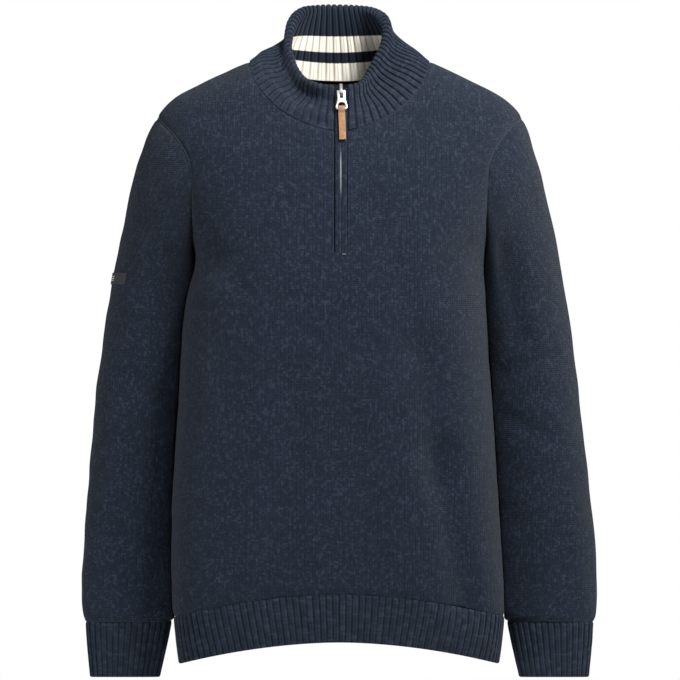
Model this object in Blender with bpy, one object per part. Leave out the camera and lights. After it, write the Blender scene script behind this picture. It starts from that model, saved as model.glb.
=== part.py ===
"""Quarter zip sweater in thick knit, filled out as it is worn, with nobody in it.

Frame: +Z up, the front faces -Y, and the wearer's left is +X. The origin is level with the high point of the
shoulders, in the middle, where the neck of the wearer comes through. All tables and sizes are in millimetres.
"""

import math

import bmesh
import bpy
import numpy as np
from mathutils import Matrix

MM = 0.001
LEFT, RIGHT = 1, -1  # the wearer's own sides, along X
FRONT, BACK = -1, 1  # along Y

# ---------------------------------------------------------------- driving dimensions
SEAM = 0.3  # gap at a seam
KNIT = 3.0  # thickness of the plain knit
RIB_HEIGHT = 1.6  # how far a rib stands over its groove
RIB_BASE = 2.6  # thickness of ribbed knit under its grooves
COLLAR_THICK = 6.0  # two layers of rib at the neck seam
ROLL_THICK = 14.0  # the collar's folded top edge, a soft roll

BODY_GAP = 1.4  # between a sleeve and the side of the body
UNDERARM_Z = -237.0
UNDERARM_X = 174.0
TIP_Z = -68.0  # shoulder tip, where the shoulder seam meets the sleeve
NECK_HALF_WIDTH = 107.0
NECK_DROP_FRONT = 83.0
NECK_DROP_BACK = 21.0
NECK_POWER = 1.75  # 2 is an ellipse, and less is a V

HEM_SEAM_Z = -634.0  # at the middle; the seam falls away towards the sides
HEM_ARCH = 26.0
HEM_HEIGHT = 57.0
HEM_RIBS = 66  # on each half

ZIP_X = 1.8  # the zip's middle
SLIT_WIDTH = 16.0
SLIT_Z = -228.0  # foot of the zip
STRIP_GAP = 0.4  # between a knitted strip and the edge of the slit
STRIP_RECESS = 0.5  # how far the strips lie under the surface of the knit
STRIP_THICK = 2.5
PARTED_CLOSED = 0.8  # distance between the strips where they nearly meet
PARTED_TEETH = 1.6  # added where the teeth show
TEETH_Z, TEETH_REACH = -142.0, 30.0
PARTED_SLIDER = 6.0  # added from the slider upwards
PARTED_SLIDER_Z = -44.0
TAPE_THICK = 1.0
CHAIN_HALF_WIDTH = 1.8
CHAIN_THICK = 2.0
CHAIN_TOP_Z = -50.5

COLLAR_RIBS = 65
COLLAR_FINE = 12 * COLLAR_RIBS + 1  # places round the collar where its shape is worked out
CUFF_RIBS = 34

SHOULDER_COLUMNS = 5  # panel columns that end at the shoulder seam
NECK_COLUMNS = 7  # and at the neck seam
YOKE_ROWS = 11
WAIST_ROWS = 9
RELAX_STEPS = 15


class Table:
    """Named columns of sizes, read on a smooth curve along the first column."""

    def __init__(self, names, *rows):
        values = np.array(sorted(rows), float).T
        self.keys = values[0]
        self.columns = dict(zip(names.split(), values))

    def at(self, name, key):
        column = self.columns[name]
        slope = np.gradient(column, self.keys)
        key = np.clip(key, self.keys[0], self.keys[-1])
        i = np.clip(np.searchsorted(self.keys, key) - 1, 0, len(self.keys) - 2)
        step = self.keys[i + 1] - self.keys[i]
        t = (key - self.keys[i]) / step
        start = (1 + 2 * t) * (1 - t) ** 2 * column[i] + t * (1 - t) ** 2 * step * slope[i]
        end = t * t * (3 - 2 * t) * column[i + 1] - t * t * (1 - t) * step * slope[i + 1]
        return start + end


# Level slices of the body: half widths to the wearer's right and left, depths, and how square each is.
# Above the underarm the slices run on through the sleeve heads, and above the tip they end at the shoulders.
BODY = Table(
    "z right left front back power",
    (-730, 189.5, 188, 82, 78, 4.0),
    (-690, 194.5, 193.5, 90, 84, 4.0),
    (-661, 197, 195.5, 96, 89, 3.9),
    (-640, 198.5, 195.5, 100, 92, 3.8),
    (-580, 199.5, 192.5, 108, 98, 3.6),
    (-520, 198.5, 188.5, 114, 103, 3.5),
    (-460, 195.5, 185, 119, 107, 3.4),
    (-400, 191.5, 181, 124, 112, 3.3),
    (-340, 188, 177, 128, 118, 3.2),
    (-284, 183, 174, 131, 124, 3.1),
    (-237, 174, 174, 131.5, 127, 3.0),
    (-210, 181, 181, 130, 127.5, 2.9),
    (-180, 192, 192, 127, 127, 2.8),
    (-150, 204, 204, 122.5, 124, 2.65),
    (-118, 216, 216, 116, 119, 2.5),
    (-90, 222, 222, 107, 112.5, 2.4),
    (-68, 217, 217, 98, 105.5, 2.3),
    (-58, 211.5, 210.5, 94, 101.5, 2.28),
    (-46, 199, 197.5, 88.5, 96, 2.25),
    (-34.5, 180, 178.5, 83, 88, 2.2),
    (-21, 153, 151, 75, 78, 2.16),
    (-10, 130, 127.5, 67, 66, 2.12),
    (0, 107, 107, 56, 53, 2.1),
    (12, 88, 88, 40, 40, 2.1),
)

# The armhole seam seen from the front and from the back.
ARMHOLE = Table(
    "z front back",
    (-237, 174, 174),
    (-215, 174.3, 176.5),
    (-190, 174.8, 180.5),
    (-165, 175.2, 185),
    (-140, 176.2, 190),
    (-119, 179.5, 195),
    (-107, 184.5, 199),
    (-96, 191.5, 203),
    (-82, 202.5, 209),
    (-74, 210.5, 213.7),
    (-68, 217, 217),
)

# Each row is a ring of the sleeve: its outermost point, its innermost point beside the body, the middle and
# half of its depth, and how much of the armhole's own shape is left in it.
SLEEVE = Table(
    "ring outer_left outer_right outer_z inner_left inner_right inner_z middle_y half_depth armhole",
    (0, 217, 217, -68, 174, 174, -237, -9, 69, 1.0),
    (1, 224.5, 226.4, -84, 176, 176, -244, -7, 68.5, 0.78),
    (2, 231.5, 234.5, -106, 174, 178, -252, -4, 68, 0.5),
    (3, 241, 245, -138, 168.5, 178, -264, 2, 67, 0.25),
    (4, 250, 253.6, -178, 164, 174, -282, 10, 66, 0.08),
    (5, 259, 262.5, -222, 163.5, 174, -306, 17, 64.5, 0),
    (6, 267.5, 272, -270, 164, 175, -336, 23, 62.5, 0),
    (7, 276, 280, -320, 166, 177, -370, 27, 60, 0),
    (8, 282, 287, -372, 168.5, 179, -408, 29, 57, 0),
    (9, 288, 292.5, -424, 171.5, 182.5, -448, 30, 54, 0),
    (10, 294, 297, -476, 175, 185.5, -490, 30, 50, 0),
    (11, 299.5, 301, -528, 179, 188, -536, 29, 46, 0),
    (12, 304.6, 304.6, -580, 181, 189, -582, 28, 42, 0),
    (13, 306.7, 306.7, -622, 183, 186, -622, 25, 37, 0),
    (14, 306, 306, -652, 187.5, 189, -652, 20, 32, 0),
    (15, 304, 304, -666, 197, 198.5, -666, 16, 28, 0),
)
SLEEVE_POWER = 2.25
SLEEVE_RINGS = 16

# The cuff in the same terms, both sides alike.
CUFF = Table(
    "z outer_x inner_x middle_y half_depth power",
    (-666.5, 302.5, 199, 16, 26, 2.4),
    (-684, 301.5, 202.5, 15, 23.5, 2.5),
    (-733, 297, 213.5, 12, 18.5, 2.6),
)

# Height of the collar's top edge against how far back it is, both from -1 at the front to 1 at the back,
# and how much narrower its two sides are there than a plain oval.
RIM = Table(
    "depth height right left",
    (-1, -1, 0.78, 0.8),
    (-0.6, -0.66, 0.82, 0.64),
    (0, 0.2, 0.985, 0.9),
    (0.5, 0.79, 1, 1.03),
    (0.85, 0.972, 1, 1.01),
    (1, 1, 1, 1),
)
RIM_HALF_WIDTH = 63.0
RIM_HALF_DEPTH = 75.0
RIM_MIDDLE = (-1.6, -8.0, 14.5)
RIM_HALF_HEIGHT = 47.5
RIM_POWER = 2.6
FLARE = 0.6  # how far out the collar still stands at its bend, against its whole flare
BEND = 0.4  # and the height of that bend
RECESS = 5.0  # how far the outside is drawn in under the roll
RECESS_AT_ZIP = 0.4  # share of it beside the zip
ZIP_STIFF = 0.06  # share of the collar's length that the zip keeps straight

# Soft folds: the ends of the line that each follows, seen from the front or back, its depth and half width.
FOLDS = (
    (FRONT, (100, -350), (118, -500), 6.0, 26),
    (FRONT, (118, -470), (150, -640), 7.0, 24),
    (FRONT, (-58, -380), (-70, -640), 3.5, 22),
    (FRONT, (62, -190), (88, -350), 3.0, 24),
    (BACK, (-96, -330), (-124, -620), 6.0, 28),
    (BACK, (84, -400), (112, -640), 5.0, 26),
    (BACK, (-20, -200), (30, -330), 3.0, 30),
)

# Metal of the slider and its pull, measured from the hinge.
HINGE_Z = -38.5
HINGE_STAND = 4.2  # in front of the surface of the knit
EYE_RADIUS = 1.9  # hole in the slider's bridge
SLIDER_WIDTH = 3.4
SLIDER_TOP, SLIDER_FOOT = 11.0, -4.4
BAR_RADIUS = 1.1  # half the height of the pull's upper bar, which turns in the hole
PULL_THICK = 1.6
PULL_LENGTH = 24.0
PULL_HALF_TOP, PULL_HALF_WAIST, PULL_HALF_FOOT = 4.9, 4.5, 7.2
PULL_SHOULDER, PULL_WAIST, PULL_FLARE = -5.5, -8.5, -13.0  # heights where its outline bends
SLOT_HALF, SLOT_FOOT = 2.2, -8.6
FOOT_BAR = 2.2
EYELET_HALF, EYELET_SIDE, EYELET_HEIGHT = 4.75, 2.2, 6.6

# Leather tab, folded over the pull's foot bar and sewn together below it.
TAB_LENGTH = 40.0
TAB_WIDTH = 8.0
LEATHER = 1.2
TAB_END_X, TAB_END_Z = 3.9, -95.0  # it hangs a little to the wearer's left
TAB_LIFT = 0.7

# Woven label round the outside of the wearer's right sleeve.
LABEL_HEIGHTS = (-266.0, -252.0)
LABEL_THICK = 0.8
LABEL_LIFT = 0.5

# Woven tape inside the back neck, just under the collar's seam.
NECK_TAPE_HALF = 62.0
NECK_TAPE_DROPS = (11.0, 3.5)  # its lower and upper edge under the seam
NECK_TAPE_THICK = 0.8
NECK_TAPE_LIFT = 0.8  # off the inside of the knit
NECK_TAPE_COLUMNS = 13


# ---------------------------------------------------------------- the form of the body
def half_width(x, z):
    return np.where(x < 0, BODY.at("right", z), BODY.at("left", z))


def half_depth(y, z):
    return np.where(y < 0, BODY.at("front", z), BODY.at("back", z))


def reach(points):
    """1 on the form and growing evenly with the distance from the middle of each level slice."""
    x, y, z = np.moveaxis(points, -1, 0)
    power = BODY.at("power", z)
    value = (np.abs(x) / half_width(x, z)) ** power + (np.abs(y) / half_depth(y, z)) ** power
    return value ** (1 / power)


def form_slope(points):
    step = 0.25
    rises = [reach(points + step * axis) - reach(points - step * axis) for axis in np.eye(3)]
    return np.stack(rises, axis=-1) / (2 * step)


def form_normal(points):
    return unit(form_slope(points))


def onto_form(points):
    """Moves points square to the form until they lie on it."""
    for _ in range(8):
        slope = form_slope(points)
        steep = np.sum(slope**2, axis=-1, keepdims=True)
        points = points + (1 - reach(points)[..., None]) / steep * slope
    return points


def pressed(points, gap):
    """Moves points under the arms that are nearer the form than gap, or inside it, out to that distance."""
    for _ in range(8):
        slope = form_slope(points)
        steep = np.linalg.norm(slope, axis=-1)
        short = gap - (reach(points) - 1) / steep
        short = np.where(points[..., 2] < UNDERARM_Z, np.maximum(short, 0), 0)
        points = points + (short / steep)[..., None] * slope
    return points


def unit(vectors):
    return vectors / np.maximum(np.linalg.norm(vectors, axis=-1, keepdims=True), 1e-9)


def form_at(x, z, face):
    """Points of the form's front or back at places seen from there."""
    power = BODY.at("power", z)
    inside = 1 - np.minimum(np.abs(x) / half_width(x, z), 1) ** power
    y = face * half_depth(face, z) * inside ** (1 / power)
    return np.stack(np.broadcast_arrays(x, y, z), axis=-1).astype(float)


def slice_at(side, face, z, angle):
    """Points of a level slice, from the side seam at angle 0 to the middle at a right angle."""
    power = BODY.at("power", z)
    x = side * half_width(side, z) * np.cos(angle) ** (2 / power)
    y = face * half_depth(face, z) * np.sin(angle) ** (2 / power)
    return np.stack(np.broadcast_arrays(x, y, z), axis=-1)


def creased(points):
    """Points moved in along the normal by the soft folds."""
    depth = np.zeros(points.shape[:-1])
    for face, top, bottom, deep, half in FOLDS:
        top, bottom = np.array(top, float), np.array(bottom, float)
        seen = points[..., [0, 2]] - top
        line = bottom - top
        along = (seen @ line) / (line @ line)
        aside = np.linalg.norm(seen - np.clip(along, 0, 1)[..., None] * line, axis=-1)
        fade = np.exp(-(np.maximum(np.abs(along - 0.5) - 0.5, 0) * 2.5) ** 2)
        depth += deep * fade * np.exp(-((aside / half) ** 2)) * (points[..., 1] * face > 0)
    return points - depth[..., None] * form_normal(points)


def spaced(curve, count, ends=(0, 1)):
    """count points at even distances along a curve, or along a part of it."""
    length = np.concatenate([[0], np.cumsum(np.linalg.norm(np.diff(curve, axis=0), axis=1))])
    at = np.linspace(ends[0], ends[1], count) * length[-1]
    return np.stack([np.interp(at, length, curve[:, k]) for k in range(3)], axis=1)


def up_to(curve, x):
    """The curve cut off where it comes to x from the side."""
    sign = np.sign(curve[0, 0])
    keep = curve[:, 0] * sign > x * sign
    last, after = curve[keep][-1], curve[~keep][0]
    t = (last[0] - x) / (last[0] - after[0])
    return np.vstack([curve[keep], last + t * (after - last)])


DENSE = np.linspace(0, math.pi / 2, 400)


def hem_seam_z(x):
    return HEM_SEAM_Z - HEM_ARCH * (np.abs(x) / 196) ** 1.8


def chest_z(x):
    """The line across the panels from underarm to underarm, level with the foot of the zip in the middle."""
    return UNDERARM_Z + (SLIT_Z - UNDERARM_Z) * (1 - (np.abs(x) / UNDERARM_X) ** 2)


def waist_line(side, face, t):
    """A line round a half of the body, from the hem seam at t = 0 to the chest line at t = 1."""
    flat = hem_seam_z(0) * (1 - t) + chest_z(0) * t
    x = slice_at(side, face, flat, DENSE)[:, 0]
    z = hem_seam_z(x) * (1 - t) + np.maximum(chest_z(x), UNDERARM_Z) * t
    return slice_at(side, face, z, DENSE)


def armhole(side, face, count=YOKE_ROWS + 1):
    """The armhole seam from the underarm up to the shoulder tip."""
    middle, reach = (TIP_Z + UNDERARM_Z) / 2, (TIP_Z - UNDERARM_Z) / 2
    z = middle - reach * np.cos(np.linspace(0, math.pi, 400))
    x = ARMHOLE.at("front" if face == FRONT else "back", z)
    return spaced(form_at(side * x, z, face), count)


def neckline(side, face):
    """Half of the neck seam, from the high point of the shoulder to the middle."""
    if face == FRONT:
        x = NECK_HALF_WIDTH * np.cos(DENSE) ** (2 / NECK_POWER)
        z = -NECK_DROP_FRONT * np.sin(DENSE) ** (2 / NECK_POWER)
    else:
        x = NECK_HALF_WIDTH * np.cos(DENSE)
        z = -NECK_DROP_BACK * np.sin(DENSE) ** 2
    return form_at(side * x, z, face)


def shoulder(side):
    z = np.linspace(TIP_Z, 0, 60)
    x = side * BODY.at("left", z)
    return np.stack([x, np.zeros_like(z), z], axis=1)


def cut_to(side, face, curve):
    """The curve, from the side, cut off at the edge of the zip's opening if it is on the front."""
    return up_to(curve, ZIP_X + side * SLIT_WIDTH / 2) if face == FRONT else curve


def neck_points(side, face):
    return spaced(cut_to(side, face, neckline(side, face)), NECK_COLUMNS + 1)


def relaxed(grid):
    """The grid with its inner points evened out along the form, but for the column at the armhole."""
    for _ in range(RELAX_STEPS):
        inside = (grid[:-2, 2:-1] + grid[2:, 2:-1] + grid[1:-1, 1:-2] + grid[1:-1, 3:]) / 4
        grid[1:-1, 2:-1] = onto_form(inside)
    return grid


def half_panel(side, face):
    """Rows of points from the hem seam up to the shoulder and neck, each from the side to the middle."""
    columns = SHOULDER_COLUMNS + NECK_COLUMNS + 1
    waist = [
        spaced(cut_to(side, face, waist_line(side, face, t)), columns)
        for t in np.linspace(0, 1, WAIST_ROWS + 1)
    ]
    bottom = waist[-1]
    edge = armhole(side, face)
    top = np.vstack([spaced(shoulder(side), SHOULDER_COLUMNS + 1), neck_points(side, face)[1:]])
    middle_z = np.linspace(bottom[-1, 2], top[-1, 2], YOKE_ROWS + 1)
    middle = form_at(np.full_like(middle_z, bottom[-1, 0]), middle_z, face)
    yoke = [bottom]
    for row in range(1, YOKE_ROWS + 1):
        t = row / YOKE_ROWS
        q = np.linspace(0, 1, columns)[:, None]
        ruled = (1 - t) * bottom + t * top + (1 - q) * edge[row] + q * middle[row]
        low, high = ((1 - q) * line[0] + q * line[-1] for line in (bottom, top))
        points = onto_form(ruled - (1 - t) * low - t * high)
        points[0], points[-1] = edge[row], middle[row]
        yoke.append(top if row == YOKE_ROWS else points)
    return np.concatenate([waist[:-1], relaxed(np.array(yoke))])


# ---------------------------------------------------------------- the sleeves
def oval(side, ring, count):
    """A plain ring of a sleeve's sizes, from its outermost point round the front to the innermost."""
    name = "left" if side == LEFT else "right"
    angle = np.arange(count) * 2 * math.pi / count
    turns = (np.cos(angle), np.sin(angle))
    across, forward = (np.sign(t) * np.abs(t) ** (2 / SLEEVE_POWER) for t in turns)
    outer = np.array([side * SLEEVE.at("outer_" + name, ring), SLEEVE.at("outer_z", ring)])
    inner = np.array([side * SLEEVE.at("inner_" + name, ring), SLEEVE.at("inner_z", ring)])
    seen = (outer + inner) / 2 + across[:, None] * (outer - inner) / 2
    y = SLEEVE.at("middle_y", ring) - SLEEVE.at("half_depth", ring) * forward
    return np.stack([seen[:, 0], y, seen[:, 1]], axis=1)


def armhole_ring(side):
    """The whole armhole seam, in the sleeve's order."""
    front, back = armhole(side, FRONT), armhole(side, BACK)
    return np.vstack([front[:0:-1], back[:-1]])


def sleeve_ring(side, ring, count=2 * YOKE_ROWS):
    if ring == 0:
        return armhole_ring(side)
    points = oval(side, ring, count)
    share = SLEEVE.at("armhole", ring)
    if share > 0:
        points += share * (armhole_ring(side) - oval(side, 0, count))
    return pressed(points, BODY_GAP * min(ring / 3, 1))


def sleeve_grid(side):
    return np.array([sleeve_ring(side, ring) for ring in range(SLEEVE_RINGS)])


def grid_normals(grid, closed, outward):
    """Normals of a grid of points; outward says which way the rows turn round it."""
    along = np.gradient(grid, axis=0)
    if closed:
        around = np.roll(grid, -1, axis=1) - np.roll(grid, 1, axis=1)
    else:
        around = np.gradient(grid, axis=1)
    return unit(outward * np.cross(along, around))


def armhole_seam(side):
    """Points of the armhole seam in the sleeve's order, how its wall faces, and which way the sleeve lies."""
    ring = armhole_ring(side)
    along = unit(np.roll(ring, -1, axis=0) - np.roll(ring, 1, axis=0))
    body, sleeve = form_normal(ring), grid_normals(sleeve_grid(side), True, -side)[0]
    down_body, down_sleeve = side * np.cross(along, body), -side * np.cross(along, sleeve)
    hollow = np.sign(np.sum(body * down_sleeve, axis=1, keepdims=True))
    facing = unit(body + sleeve + hollow * (down_body + down_sleeve))
    away = unit(np.cross(along, facing))
    away *= np.sign(away[:, :1] * side)
    return ring, facing, away


# ---------------------------------------------------------------- the collar
def neck_ring():
    """The neck seam from the left edge of the zip round the back to its right edge."""
    left = [neck_points(LEFT, FRONT)[::-1], neck_points(LEFT, BACK)[1:]]
    right = [neck_points(RIGHT, BACK)[-2::-1], neck_points(RIGHT, FRONT)[1:]]
    return np.vstack(left + right)


def rim_ring():
    """The outside of the collar's top edge, in the same order."""
    angle = np.linspace(0, 2 * math.pi, 1600)
    across = np.sign(np.sin(angle)) * np.abs(np.sin(angle)) ** (2 / RIM_POWER)
    back = -np.sign(np.cos(angle)) * np.abs(np.cos(angle)) ** (2 / RIM_POWER)
    height = RIM_HALF_HEIGHT * RIM.at("height", back)
    width = RIM_HALF_WIDTH * np.where(across < 0, RIM.at("right", back), RIM.at("left", back))
    ring = RIM_MIDDLE + np.stack([width * across, RIM_HALF_DEPTH * back, height], axis=1)
    in_opening = (back < 0) & (np.abs(ring[:, 0] - ZIP_X) < SLIT_WIDTH / 2)
    ring = ring[~in_opening]
    ring[0, 0], ring[-1, 0] = ZIP_X + SLIT_WIDTH / 2, ZIP_X - SLIT_WIDTH / 2
    return ring


def collar_sheet(seam, rim, rise):
    """Points of the collar's outer surface, at rises from 0 at the seam to 1 where its top rolls over."""
    bend = rim + FLARE * (seam - rim)
    bend[:, 2] = seam[:, 2] + BEND * (rim[:, 2] - seam[:, 2])
    rise = np.asarray(rise)[:, None, None]
    return (1 - rise) ** 2 * seam + 2 * rise * (1 - rise) * bend + rise**2 * rim


def eased(low, high, value):
    """0 below low, 1 above high, and smooth in between."""
    share = np.clip((value - low) / (high - low), 0, 1)
    return share * share * (3 - 2 * share)


def recess(count, rises):
    """How far the outside of the collar is drawn in under its roll, which is less beside the zip."""
    rises, place = np.asarray(rises)[:, None], np.linspace(0, 1, count)
    from_zip = eased(0, ZIP_STIFF, np.minimum(place, 1 - place))
    under_roll = eased(0.3, 0.78, rises) * (1 - eased(0.82, 1, rises))
    return RECESS * under_roll * (RECESS_AT_ZIP + (1 - RECESS_AT_ZIP) * from_zip)


def collar_layers(count, rises):
    """The collar's outer points before its recess, their normals, and its upward direction at the rim."""
    seam, rim = spaced(neck_ring(), count), spaced(rim_ring(), count)
    outer = collar_sheet(seam, rim, rises)
    fine = collar_sheet(seam, rim, np.linspace(0, 1, 41))
    normals = grid_normals(fine, False, -1)[np.round(np.asarray(rises) * 40).astype(int)]
    up = unit(fine[-1] - fine[-2])
    return outer, normals, up


def collar_thick(rises):
    return COLLAR_THICK + (ROLL_THICK - COLLAR_THICK) * np.asarray(rises)[:, None, None] ** 2.2


def neck_seam():
    """The neck seam's points, how the wall faces there, half way between body and collar, and the way up."""
    ring = neck_ring()
    seam, above = collar_layers(COLLAR_FINE, (0, 0.1))[0]
    collar = collar_layers(COLLAR_FINE, (0,))[1][0]
    nearest = np.argmin(np.linalg.norm(seam - ring[:, None], axis=2), axis=1)
    facing = unit(form_normal(ring) + collar[nearest])
    away = unit(np.cross(facing, np.gradient(ring, axis=0)))
    away *= np.sign(np.sum(away * (above - seam)[nearest], axis=1, keepdims=True))
    return ring, facing, away


# ---------------------------------------------------------------- turning points into solids
def material(name, colour, roughness, metallic=0.0):
    made = bpy.data.materials.new(name)
    made.use_nodes = True
    shader = made.node_tree.nodes["Principled BSDF"]
    shader.inputs["Base Color"].default_value = (*colour, 1)
    shader.inputs["Roughness"].default_value = roughness
    shader.inputs["Metallic"].default_value = metallic
    return made


def solid(name, points, faces, finish, parent):
    """A mesh object from points in millimetres."""
    mesh = bpy.data.meshes.new(name)
    mesh.from_pydata(np.asarray(points) * MM, [], faces)
    work = bmesh.new()
    work.from_mesh(mesh)
    bmesh.ops.recalc_face_normals(work, faces=work.faces)
    work.to_mesh(mesh)
    work.free()
    mesh.shade_smooth()
    mesh.set_sharp_from_angle(angle=math.radians(45))
    mesh.materials.append(finish)
    made = bpy.data.objects.new(name, mesh)
    bpy.context.collection.objects.link(made)
    made.parent = parent
    return made


def strip(first, second):
    """Triangles between two lines of point numbers that run the same way, whatever their counts."""
    faces, i, j = [], 0, 0
    while i < len(first) - 1 or j < len(second) - 1:
        ahead = (i + 1) * (len(second) - 1) <= (j + 1) * (len(first) - 1)
        if j == len(second) - 1 or (ahead and i < len(first) - 1):
            faces.append((first[i], first[i + 1], second[j]))
            i += 1
        else:
            faces.append((first[i], second[j + 1], second[j]))
            j += 1
    return faces


def quads(numbers, closed=False, kept=lambda row, column: True):
    """Faces of a grid of point numbers."""
    rows, columns = numbers.shape
    faces = []
    for row in range(rows - 1):
        for column in range(columns if closed else columns - 1):
            after = (column + 1) % columns
            if kept(row, column):
                below, above = numbers[row], numbers[row + 1]
                faces.append((below[column], below[after], above[after], above[column]))
    return [tuple(int(n) for n in face) for face in faces]


def halved(face, points):
    """The two triangles of a four-sided face, parted along its shorter diagonal."""
    a, b, c, d = face
    if np.linalg.norm(points[a] - points[c]) <= np.linalg.norm(points[b] - points[d]):
        return [(a, b, c), (a, c, d)]
    return [(a, b, d), (b, c, d)]


def wall(name, outer, inner, finish, parent, closed=False, kept=lambda row, column: True):
    """A wall between two grids of one size, with the same triangles on both, closed at every free edge."""
    numbers = np.arange(outer[..., 0].size).reshape(outer.shape[:2])
    points = np.vstack([outer.reshape(-1, 3), inner.reshape(-1, 3)])
    faces = [part for face in quads(numbers, closed, kept) for part in halved(face, points)]
    shift = numbers.size
    used = {pair for face in faces for pair in zip(face, face[1:] + face[:1])}
    rim = [(a, b) for a, b in sorted(used) if (b, a) not in used]
    everything = faces + [tuple(n + shift for n in reversed(face)) for face in faces]
    everything += [(b, a, a + shift, b + shift) for a, b in rim]
    in_use = sorted({n for face in everything for n in face})
    renumber = {old: new for new, old in enumerate(in_use)}
    everything = [tuple(renumber[n] for n in face) for face in everything]
    return solid(name, points[in_use], everything, finish, parent)


def ribbed_wall(name, outer, inner, finish, parent, closed=False):
    """A wall whose outer grid has more columns than its inner one. Both begin and end at the same edges."""
    across = outer.shape[1]
    out = np.arange(outer[..., 0].size).reshape(outer.shape[:2])
    into = np.arange(inner[..., 0].size).reshape(inner.shape[:2]) + out.size
    if closed:
        out_edge = np.hstack([out, out[:, :1]])
        in_edge = np.hstack([into, into[:, :1]])
    else:
        out_edge, in_edge = out, into
    faces = quads(out, closed) + quads(into, closed)
    for row in (0, -1):
        faces += strip(list(out_edge[row]), list(in_edge[row]))
    if not closed:
        for column in (0, -1):
            faces += strip(list(out[:, column]), list(into[:, column]))
    assert across % 3 == (0 if closed else 1)
    points = np.vstack([outer.reshape(-1, 3), inner.reshape(-1, 3)])
    return solid(name, points, [tuple(int(n) for n in face) for face in faces], finish, parent)


def rib_profile(count):
    """Heights of the points across ribs: a groove, then the two shoulders of the rib."""
    return np.where(np.arange(count) % 3 == 0, 0.0, RIB_HEIGHT)


def rib_places(ribs, closed=False):
    """Where those points are along the whole width, from 0 to 1."""
    places = np.array([(rib + part) / ribs for rib in range(ribs) for part in (0, 0.3, 0.7)])
    return places if closed else np.append(places, 1.0)


def at_places(curve, places):
    """Points of a curve at shares of its length."""
    length = np.concatenate([[0], np.cumsum(np.linalg.norm(np.diff(curve, axis=0), axis=1))])
    return np.stack([np.interp(places * length[-1], length, curve[:, k]) for k in range(3)], axis=1)


# ---------------------------------------------------------------- pieces
def panel_grid(face):
    """The panel's outer points, which way its wall faces at each, and how far each keeps from its seam."""
    left = half_panel(LEFT, face)[:, ::-1]
    grid = np.concatenate([half_panel(RIGHT, face), left if face == FRONT else left[:, 1:]], axis=1)
    facing = form_normal(grid)
    shift = np.zeros_like(grid)
    order = np.arange(YOKE_ROWS, -1, -1) if face == FRONT else np.arange(YOKE_ROWS, 2 * YOKE_ROWS + 1)
    for side, column in ((RIGHT, 0), (LEFT, -1)):
        seam, wall_facing, away = armhole_seam(side)
        around = order % len(seam)
        underarm = unit(facing[WAIST_ROWS, column] + wall_facing[around[0]])
        facing[WAIST_ROWS:, column] = wall_facing[around]
        facing[WAIST_ROWS, column] = underarm
        shift[WAIST_ROWS:, column] -= SEAM / 2 * away[around]
        shift[: WAIST_ROWS + 1, column, 1] += face * SEAM / 2
    shift[-1, : SHOULDER_COLUMNS + 1, 1] += face * SEAM / 2
    shift[-1, -SHOULDER_COLUMNS - 1 :, 1] += face * SEAM / 2
    shift[0, :, 2] += SEAM / 2
    neck = slice(SHOULDER_COLUMNS, -SHOULDER_COLUMNS)
    ring, wall_facing, away = neck_seam()
    nearest = np.argmin(np.linalg.norm(ring - grid[-1, neck][:, None], axis=2), axis=1)
    facing[-1, neck] = wall_facing[nearest]
    shift[-1, neck] -= SEAM / 2 * away[nearest]
    return creased(grid) + shift, facing


def make_panels(finish, parent):
    """Front and back. The zip's opening is the front's middle column, left out above its foot."""
    opening = SHOULDER_COLUMNS + NECK_COLUMNS
    for name, face in (("front_panel", FRONT), ("back_panel", BACK)):
        grid, facing = panel_grid(face)

        def kept(row, column, face=face):
            return face == BACK or column != opening or row < WAIST_ROWS

        wall(name, grid, grid - KNIT * facing, finish, parent, kept=kept)


def make_sleeves(finish, parent):
    for name, side in (("sleeve_left", LEFT), ("sleeve_right", RIGHT)):
        grid = sleeve_grid(side)
        facing = grid_normals(grid, True, -side)
        seam, facing[0], away = armhole_seam(side)
        grid[0] = seam + SEAM / 2 * away
        wall(name, grid, grid - KNIT * facing, finish, parent, closed=True)


def cuff_ring(side, z, places):
    angle = np.linspace(0, 2 * math.pi, 400)
    power = CUFF.at("power", z)
    outer, inner = CUFF.at("outer_x", z), CUFF.at("inner_x", z)
    across = np.sign(np.cos(angle)) * np.abs(np.cos(angle)) ** (2 / power)
    forward = np.sign(np.sin(angle)) * np.abs(np.sin(angle)) ** (2 / power)
    x = side * ((outer + inner) / 2 + across * (outer - inner) / 2)
    y = CUFF.at("middle_y", z) - CUFF.at("half_depth", z) * forward
    return at_places(np.stack([x, y, np.full_like(x, z)], axis=1), places)


def make_cuffs(finish, parent):
    for name, side in (("cuff_left", LEFT), ("cuff_right", RIGHT)):
        heights = CUFF.keys[::-1]
        places = rib_places(CUFF_RIBS, closed=True)
        base = np.array([cuff_ring(side, z, places) for z in heights])
        facing = grid_normals(base, True, -side)
        facing = unit(facing * [1, 1, 0])
        outer = base + (rib_profile(base.shape[1])[:, None] - RIB_HEIGHT) * facing
        inner = (base - (RIB_BASE + RIB_HEIGHT) * facing)[:, ::3]
        ribbed_wall(name, outer, inner, finish, parent, closed=True)


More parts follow.
